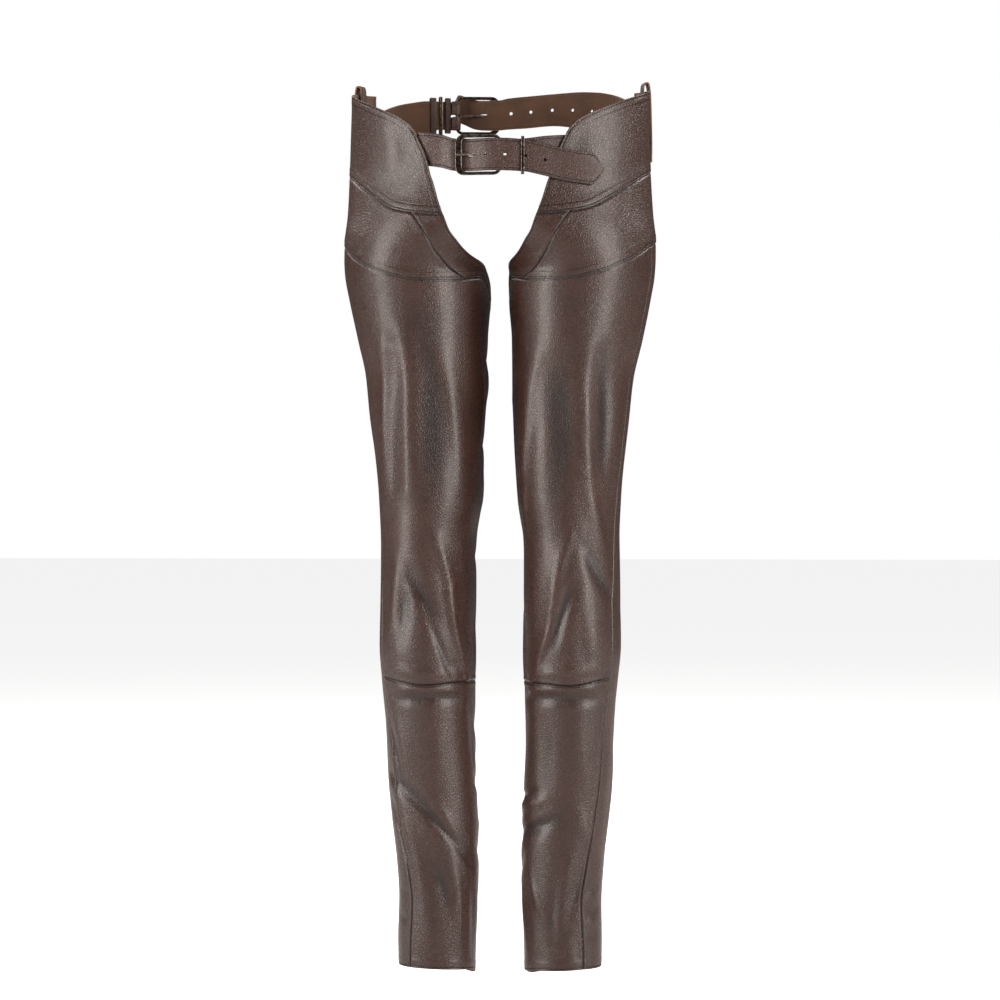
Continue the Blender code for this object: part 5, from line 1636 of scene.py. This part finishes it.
@dataclass(frozen=True)
class Buckle:
    """A belt buckle: where it lies on the hip oval, and the sizes of its frame."""

    where: str
    angle: float
    height: float
    lift: float = 1.2
    wide: float = 55.0
    tall: float = 47.6
    deep: float = 3.2
    corner: float = 10.0
    end_bar: float = 8.0
    side_bar: float = 4.0
    hinge_bar: float = 3.6
    hinge_reach: float = 26.0  # from the buckle's middle to the outer side of its hinge bar
    prong_wire: float = 1.3
    prong_sides: int = 12
    prong: tuple[tuple[float, float], ...] = (  # places along the belt and out
        (24.7, 3.1), (18, 3.1), (8, 1.2), (-3, -2.4), (-6, -2.1), (-9.5, -0.6), (-13.5, 1.6), (-18.5, 3.3),
        (-23.2, 3.2), (-27.2, 3.1),
    )

    def axes(self) -> tuple[np.ndarray, np.ndarray, np.ndarray]:
        """The middle of the frame, and its ways along the belt and out."""
        place = np.array((self.angle, self.height))
        out = FORM.level_out(place)
        return FORM.section(place) + out * self.lift, np.cross((0, 0, 1), out), out

    def build(self) -> None:
        """Makes the frame and the prong."""
        centre, _, out = self.axes()
        stand = facing(centre, out)
        for part, make in (("frame", self.frame), ("prong", self.tongue)):
            name = f"{self.where}_buckle_{part}"
            obj = make(f"{name}_metal")
            finish_metal(obj, stand, ANTIQUE)
            fit(obj, "dark_metal", name)

    def frame(self, name: str) -> bpy.types.Object:
        """The frame, with a thicker bar at the prong's end."""
        obj = add_primitive(bpy.ops.mesh.primitive_cube_add, name, size=1.0,
                            scale=(self.wide, self.tall, self.deep))
        squeeze = (self.wide - self.end_bar - self.hinge_bar) / (self.wide - 2 * self.side_bar)
        with editing(obj):
            pick(obj, "EDGE", lambda edge: abs(edge_way(edge).z) > NEARLY)
            bpy.ops.mesh.bevel(offset=self.corner, segments=7)
            pick(obj, "FACE", lambda face: abs(face.normal.z) > NEARLY)
            bpy.ops.mesh.inset(thickness=self.side_bar)
            bpy.ops.transform.resize(value=(squeeze, 1.0, 1.0))
            bpy.ops.transform.translate(value=((self.end_bar - self.hinge_bar) / 2, 0, 0))
            bpy.ops.mesh.bridge_edge_loops()
            bpy.ops.mesh.select_all(action="SELECT")
            bpy.ops.transform.translate(value=(self.hinge_reach - self.wide / 2, 0, 0))
        round_edges(obj, 1.2, 4)
        return obj

    def tongue(self, name: str) -> bpy.types.Object:
        """The prong, bent down through the strap and up on to the end bar, with a narrower tip."""
        table = np.array(self.prong)
        at = np.linspace(0, 1, 26)
        stations = np.linspace(0, 1, len(table))
        route = np.stack([eased(stations, table[:, k], at) for k in (0, 1)], axis=-1)
        ways = np.gradient(route, axis=0)
        ways /= np.linalg.norm(ways, axis=1, keepdims=True)
        turns = [2 * math.pi * k / self.prong_sides for k in range(self.prong_sides)]
        obj = add_primitive(bpy.ops.mesh.primitive_circle_add, name, vertices=self.prong_sides,
                            radius=self.prong_wire, fill_type="NGON")
        with editing(obj):
            for k, ((u, w), way) in enumerate(zip(route, ways)):
                if k:
                    bpy.ops.mesh.extrude_region_move()
                radius = self.prong_wire - 4.5 * max(0.0, at[k] - 0.9)
                mesh = bmesh.from_edit_mesh(obj.data)
                loop = sorted((vert for vert in mesh.verts if vert.select), key=lambda vert: vert.index)
                for vert, turn in zip(loop, turns):
                    flat = math.cos(turn) * radius * 0.85
                    vert.co = Vector((u - way[1] * flat, math.sin(turn) * radius, w + way[0] * flat))
                bmesh.update_edit_mesh(obj.data)
            bpy.ops.mesh.select_all(action="SELECT")
            bpy.ops.mesh.normals_make_consistent(inside=False)
        return obj


FRONT_BUCKLE = Buckle("front", -3.6, -43.5)
BACK_BUCKLE = Buckle("back", 193.5, 29.0)


def belt_spot(angle: float, lift: float, foot: float, top: float) -> np.ndarray:
    """The middle of a belt at an angle, moved out level from the form at its own height."""
    place = np.array((angle, (foot + top) / 2))
    return FORM.section(place) + FORM.level_out(place) * lift


def hip_stations(table: Sequence[tuple[float, ...]]) -> list[tuple]:
    """Stations (x, y, foot, top) of a belt on the hip oval."""
    return [(*belt_spot(*row)[:2], *row[2:]) for row in table]


def pass_stations(table: Sequence[tuple[float, ...]], buckle: Buckle) -> list[tuple]:
    """Stations of a strap where it passes its buckle."""
    centre, along, out = buckle.axes()
    return [(*(centre + along * a + out * b)[:2], centre[2] + foot, centre[2] + top)
            for a, b, foot, top in table]


@dataclass
class Strap:
    """A belt piece from stations (x, y, foot, top), with its punched holes."""

    name: str
    stations: list[tuple]
    finish: Leather
    holes: tuple[float, ...] = ()  # places of the round holes, by their distance to the side
    slots: tuple[tuple[float, float, float], ...] = ()  # distance to the side, length and way through
    wall: float = 2.2
    row: float = 3.0  # from the edges to their rows of stitches
    hole: float = 2.0  # radius of a hole
    slot: float = 3.4  # height of a slot
    wavy: float = 0.25
    narrow: float = 16.0  # height of the strap under which it is not stitched
    fine: tuple[float, ...] = (0.5, 1.2, 1.9, 2.5, 3.0, 3.5, 4.3)  # where the edges' finer lines lie

    def along(self) -> np.ndarray:
        """Millimetres along the strap up to each station."""
        table = np.array(self.stations, float)
        return np.concatenate([[0.0], np.cumsum(np.linalg.norm(np.diff(table[:, :2], axis=0), axis=1))])

    def curve(self, at: np.ndarray) -> np.ndarray:
        """The strap's stations at shares of its length."""
        table, along = np.array(self.stations, float), self.along()
        return np.stack([eased(along, table[:, k], at * along[-1]) for k in range(4)], axis=-1)

    def outs(self, at: np.ndarray) -> np.ndarray:
        """The strap's directions outward."""
        ahead, behind = self.curve(np.clip(at + 0.004, 0, 1)), self.curve(np.clip(at - 0.004, 0, 1))
        way = (ahead - behind)[:, :2]
        way /= np.linalg.norm(way, axis=1, keepdims=True)
        return np.stack([way[:, 1], -way[:, 0], np.zeros(len(at))], axis=-1)

    def points(self, u: np.ndarray, v: np.ndarray) -> tuple[np.ndarray, np.ndarray, np.ndarray]:
        """The strap's points, the distance to its nearer edge and its waves."""
        stations = self.curve(u)
        tall = stations[:, 3] - stations[:, 2]
        edge = np.minimum(v, 1 - v) * tall
        length = self.along()[-1]
        waves = self.wavy * np.sin(u * length / 13.0 + 1.0) * np.sin(v * 2.6 + u * length / 31.0)
        lift = waves - 0.35 * bell(edge, 0.8) + 0.2 * smoothstep(3.0, 9.0, edge)
        lift = lift - STITCH_GROOVE * bell(edge - self.row, 0.8)
        base = np.stack([stations[:, 0], stations[:, 1], stations[:, 2] + tall * v], axis=-1)
        return base + self.outs(u) * lift[:, None], edge, waves

    def shape(self, u: np.ndarray, v: np.ndarray) -> tuple[np.ndarray, dict[str, np.ndarray]]:
        """The points of the strap and what its finish reads."""
        points, edge, waves = self.points(u, v)
        # The finish paints shade along the strap's edges and rows of stitches, and shade and highlight on its
        # waves.
        return points, {"seam_mm": edge, "row_mm": np.abs(edge - self.row), "fold_mm": 4 * waves}

    def build(self, sewing: Sewing) -> bpy.types.Object:
        """Cuts, punches and sews the strap."""
        along = self.along()
        length, talls = along[-1], [row[3] - row[2] for row in self.stations]
        heights = lines_along(38.0, 2.6, self.fine, self.fine)
        obj = cloth_grid(f"{self.name}_leather", lines_along(length, 1.7), heights, self.shape, Side.LEFT)
        dress(obj, self.finish, FLESH_SIDE, CUT_EDGE)
        thicken(obj, self.wall, offset=0.0)
        self.punch(obj)
        smooth(obj, BELT_EDGE)
        fit(obj, "belt_leather", self.name)
        self.sew(sewing, length)
        return obj

    def sew(self, sewing: Sewing, length: float) -> None:
        """Adds the strap's two rows of stitches."""
        at = np.linspace(0.01, 0.985, int(length))
        tall = np.diff(self.curve(at)[:, 2:], axis=1)[:, 0]
        at, tall = at[tall > self.narrow], tall[tall > self.narrow]
        outs = self.outs(at)
        for shares in (self.row / tall, 1 - self.row / tall):
            sewing.row(self.points(at, shares)[0] + outs * (self.wall / 2 + 0.08), outs)

    def punch(self, obj: bpy.types.Object) -> None:
        """Cuts the holes and the slots."""
        at = np.linspace(0, 1, 4 * int(self.along()[-1]))
        line = self.curve(at)

        def cut(cutter: bpy.types.Object, x: float, way: float | None = None) -> None:
            """Drives a cutter through the strap, at a distance to the side."""
            k = int(np.argmin(np.abs(line[:, 0] - x)))
            out = self.outs(at[k : k + 1])[0] if way is None else np.array((0.0, way, 0.0))
            dress(cutter, CUT_EDGE)
            cutter.data.transform(facing(np.array((x, line[k, 1], (line[k, 2] + line[k, 3]) / 2)), out))
            apply_modifier(obj, "BOOLEAN", operation="DIFFERENCE", solver="EXACT", object=cutter,
                           material_mode="TRANSFER")
            bpy.data.objects.remove(cutter)

        for x in self.holes:
            cut(add_primitive(bpy.ops.mesh.primitive_cylinder_add, "punch", vertices=20, radius=self.hole,
                              depth=9.0), x)
        for x, long, way in self.slots:
            cutter = add_primitive(bpy.ops.mesh.primitive_cube_add, "punch", size=1.0,
                                   scale=(long, self.slot, 22.0))
            round_edges(cutter, 0.4 * self.slot, 3)
            cut(cutter, x, way)


@dataclass(frozen=True)
class BeltLoop:
    """A loop round the belt: its angle, how far in and out it reaches, its foot and top, wall and width."""

    name: str
    angle: float
    low: float
    high: float
    foot: float
    top: float
    wall: float
    width: float
    metal: bool

    def build(self) -> None:
        """Makes the loop."""
        centre = belt_spot(self.angle, (self.low + self.high) / 2, self.foot, self.top)
        deep, tall = self.high - self.low, self.top - self.foot
        obj = add_primitive(bpy.ops.mesh.primitive_cube_add, f"{self.name}_ring", size=1.0,
                            scale=(self.width, tall, deep))
        with editing(obj):
            pick(obj, "FACE", lambda face: abs(face.normal.x) > NEARLY)
            bpy.ops.mesh.delete(type="FACE")
            pick(obj, "EDGE", lambda edge: abs(edge_way(edge).x) > NEARLY)
            bpy.ops.mesh.bevel(offset=min(1.6, deep / 3), segments=4)
            pick(obj, "EDGE", lambda edge: abs(edge_way(edge).x) > NEARLY)
            bpy.ops.mesh.subdivide(number_cuts=3)
        apply_modifier(obj, "SOLIDIFY", thickness=self.wall, offset=1.0)
        round_edges(obj, 0.4, 2, sharper=60.0)
        stand = facing(centre, FORM.level_out((self.angle, centre[2])))
        if self.metal:
            finish_metal(obj, stand, ANTIQUE)
        else:
            obj.data.transform(stand)
            store(obj, seam_mm=FAR, row_mm=FAR)
            smooth(obj, TRIM_EDGE)
            dress(obj, TRIM_LEATHER)
        fit(obj, "dark_metal" if self.metal else "trim_leather", self.name)


@dataclass
class Belts:
    """The front and back belts with their buckles and loops."""

    fold_radius: float = 3.7
    fold_steps: int = 8
    sunk: float = 0.4  # how far in from the hinge bar's middle the fold is
    sewing: Sewing = field(default_factory=lambda: Sewing("belt_stitches"))

    def build(self) -> None:
        """Makes the belts."""
        front = hip_stations(FRONT_STRAP) + pass_stations(FRONT_PASS, FRONT_BUCKLE)
        back = hip_stations(BACK_STRAP) + pass_stations(BACK_PASS, BACK_BUCKLE)
        for strap in (
            Strap("front_belt_strap", front + hip_stations(FRONT_STRAP_END), BELT_LEATHER,
                  holes=(-4.1, 19.3, 42.7, 64.9), slots=((-20.8, 7.4, -1.0),)),
            Strap("back_belt_strap", back, BACK_BELT_LEATHER,
                  holes=(103.0, 78.4, 52.7, 25.7, 1.2), slots=((-33.2, 9.0, 1.0),)),
            self.buckle_piece(FRONT_BUCKLE_PIECE, FRONT_BUCKLE, 18.0, BELT_LEATHER),
            self.buckle_piece(BACK_BUCKLE_PIECE, BACK_BUCKLE, 6.0, BACK_BELT_LEATHER),
        ):
            strap.build(self.sewing)
        self.sewing.build()
        for piece in (
            FRONT_BUCKLE,
            BACK_BUCKLE,
            BeltLoop("front_belt_keeper", 12.2, 1.2, 10.4, -65.4, -24.2, 1.4, 3.6, True),
            BeltLoop("back_belt_keeper", 208.0, 0.6, 7.0, 5.0, 51.0, 1.4, 3.2, True),
            BeltLoop("back_belt_loop_inner", 205.0, 1.0, 6.6, 8.4, 49.6, 1.3, 6.5, False),
            BeltLoop("back_belt_loop_outer", 211.4, -0.4, 5.8, 3.4, 49.4, 1.3, 7.0, False),
        ):
            piece.build()

    def buckle_piece(
        self, table: Sequence[tuple], buckle: Buckle, reach: float, finish: Leather
    ) -> Strap:
        """The belt piece folded round a buckle's hinge bar, slotted for the prong.

        Args:
            table: Its stations on the hips.
            buckle: The buckle.
            reach: How far its folded end runs back.
            finish: Its leather.

        Returns:
            The piece.
        """
        centre, along, out = buckle.axes()
        hinge = centre + along * (buckle.hinge_reach - buckle.hinge_bar / 2)
        foot, top = table[-1][2:]
        turns = math.pi / 2 + math.pi * np.arange(self.fold_steps + 1) / self.fold_steps
        fold = [hinge + (along * math.cos(turn) + out * math.sin(turn)) * self.fold_radius - out * self.sunk
                for turn in turns]
        for far in (reach / 2, reach):
            fold.append(hinge + along * far - out * (self.fold_radius + self.sunk + 0.06 * far))
        stations = hip_stations(table) + [(*spot[:2], foot, top) for spot in fold]
        slot = (float(hinge[0]), 2 * self.fold_radius + 8.0, float(np.sign(out[1])))
        return Strap(f"{buckle.where}_belt_buckle_piece", stations[::-1], finish, slots=(slot,), wavy=0.1)


# -----------------------------------------------------------------------------
# Studio
# -----------------------------------------------------------------------------


@dataclass(frozen=True)
class Softbox:
    """A soft light: its name, place, width and height in metres, and power."""

    name: str
    place: tuple[float, float, float]
    size: tuple[float, float]
    power: float


SOFTBOXES = (
    Softbox("left side softbox", (3.1, -1.8, 0.2), (1.7, 3.0), 132.0),
    Softbox("right side softbox", (-3.1, -1.8, 0.2), (1.7, 3.0), 132.0),
    Softbox("front softbox", (-0.8, -4.2, 1.5), (1.6, 1.2), 17.0),
    Softbox("left back softbox", (2.9, 2.1, 2.3), (1.9, 1.9), 85.0),
    Softbox("right back softbox", (-2.9, 2.1, 2.3), (1.9, 1.9), 85.0),
    Softbox("back softbox", (-0.4, 4.2, 0.9), (1.2, 1.4), 26.0),
    Softbox("top softbox", (0.0, -0.2, 2.8), (2.0, 1.6), 18.0),
)


@dataclass
class Studio:
    """A pale floor, soft lights and the camera."""

    floor_height: float = -1.05
    camera_height: float = -0.446
    camera_distance: float = 4.0
    camera_turn: float = 6.0
    lens: float = 120.0
    seen: float = 1.0  # how bright the surroundings look
    fill: float = 0.06  # how much they light
    glow: float = 0.84  # how bright the floor looks before it is lit
    warmth: tuple[float, float, float] = (1.0, 0.945, 0.9)

    def build(self) -> None:
        """Sets the studio."""
        self.floor()
        self.surroundings()
        for softbox in SOFTBOXES:
            self.light(softbox)
        self.camera()

    def floor(self) -> None:
        """A wide plain floor below the hems."""
        floor = add_primitive(bpy.ops.mesh.primitive_plane_add, "floor", size=60.0,
                              location=(0, 0, self.floor_height))
        material = bpy.data.materials.new("floor paint")
        material.use_nodes = True
        tree = Tree(material.node_tree)
        seen = tree.add("ShaderNodeLightPath").outputs["Is Camera Ray"]
        tree.feed(material.node_tree.nodes["Principled BSDF"], {
            "Emission Strength": tree.math("MULTIPLY", seen, self.glow),
            "Emission Color": (1.0, 1.0, 1.0, 1.0),
            "Base Color": (0.8, 0.8, 0.8, 1.0),
            "Roughness": 0.9,
            "Specular IOR Level": 0.0,
        })
        floor.data.materials.append(material)

    def surroundings(self) -> None:
        """Even white light from all round, and plain colours."""
        world = bpy.data.worlds.new("studio")
        world.use_nodes = True
        tree = Tree(world.node_tree)
        seen = tree.add("ShaderNodeLightPath").outputs["Is Camera Ray"]
        strength = tree.math("MULTIPLY_ADD", seen, self.seen - self.fill, self.fill)
        tree.feed(world.node_tree.nodes["Background"], {"Color": (1.0, 1.0, 1.0, 1.0), "Strength": strength})
        bpy.context.scene.world = world
        bpy.context.scene.view_settings.view_transform = "Standard"

    def light(self, softbox: Softbox) -> None:
        """Adds a softbox that faces the middle of the chaps."""
        data = bpy.data.lights.new(softbox.name, "AREA")
        data.shape = "RECTANGLE"
        data.size, data.size_y = softbox.size
        data.energy = softbox.power
        data.color = self.warmth
        lamp = bpy.data.objects.new(softbox.name, data)
        lamp.location = softbox.place
        aim = Vector((0, 0, self.camera_height)) - Vector(softbox.place)
        lamp.rotation_euler = aim.to_track_quat("-Z", "Y").to_euler()
        bpy.context.scene.collection.objects.link(lamp)

    def camera(self) -> None:
        """Adds the camera, level and a little to the wearer's left."""
        data = bpy.data.cameras.new("camera")
        data.lens = self.lens
        camera = bpy.data.objects.new("camera", data)
        turn = math.radians(self.camera_turn)
        camera.location = (self.camera_distance * math.sin(turn), -self.camera_distance * math.cos(turn),
                           self.camera_height)
        camera.rotation_euler = (math.pi / 2, 0, turn)
        bpy.context.scene.collection.objects.link(camera)
        bpy.context.scene.camera = camera


def main() -> None:
    """Builds the looks of the chaps."""
    logging.basicConfig(level=logging.INFO, format="%(message)s")
    for side in Side:
        Leg(side).build()
    Belts().build()
    Studio().build()


if __name__ == "__main__":
    main()
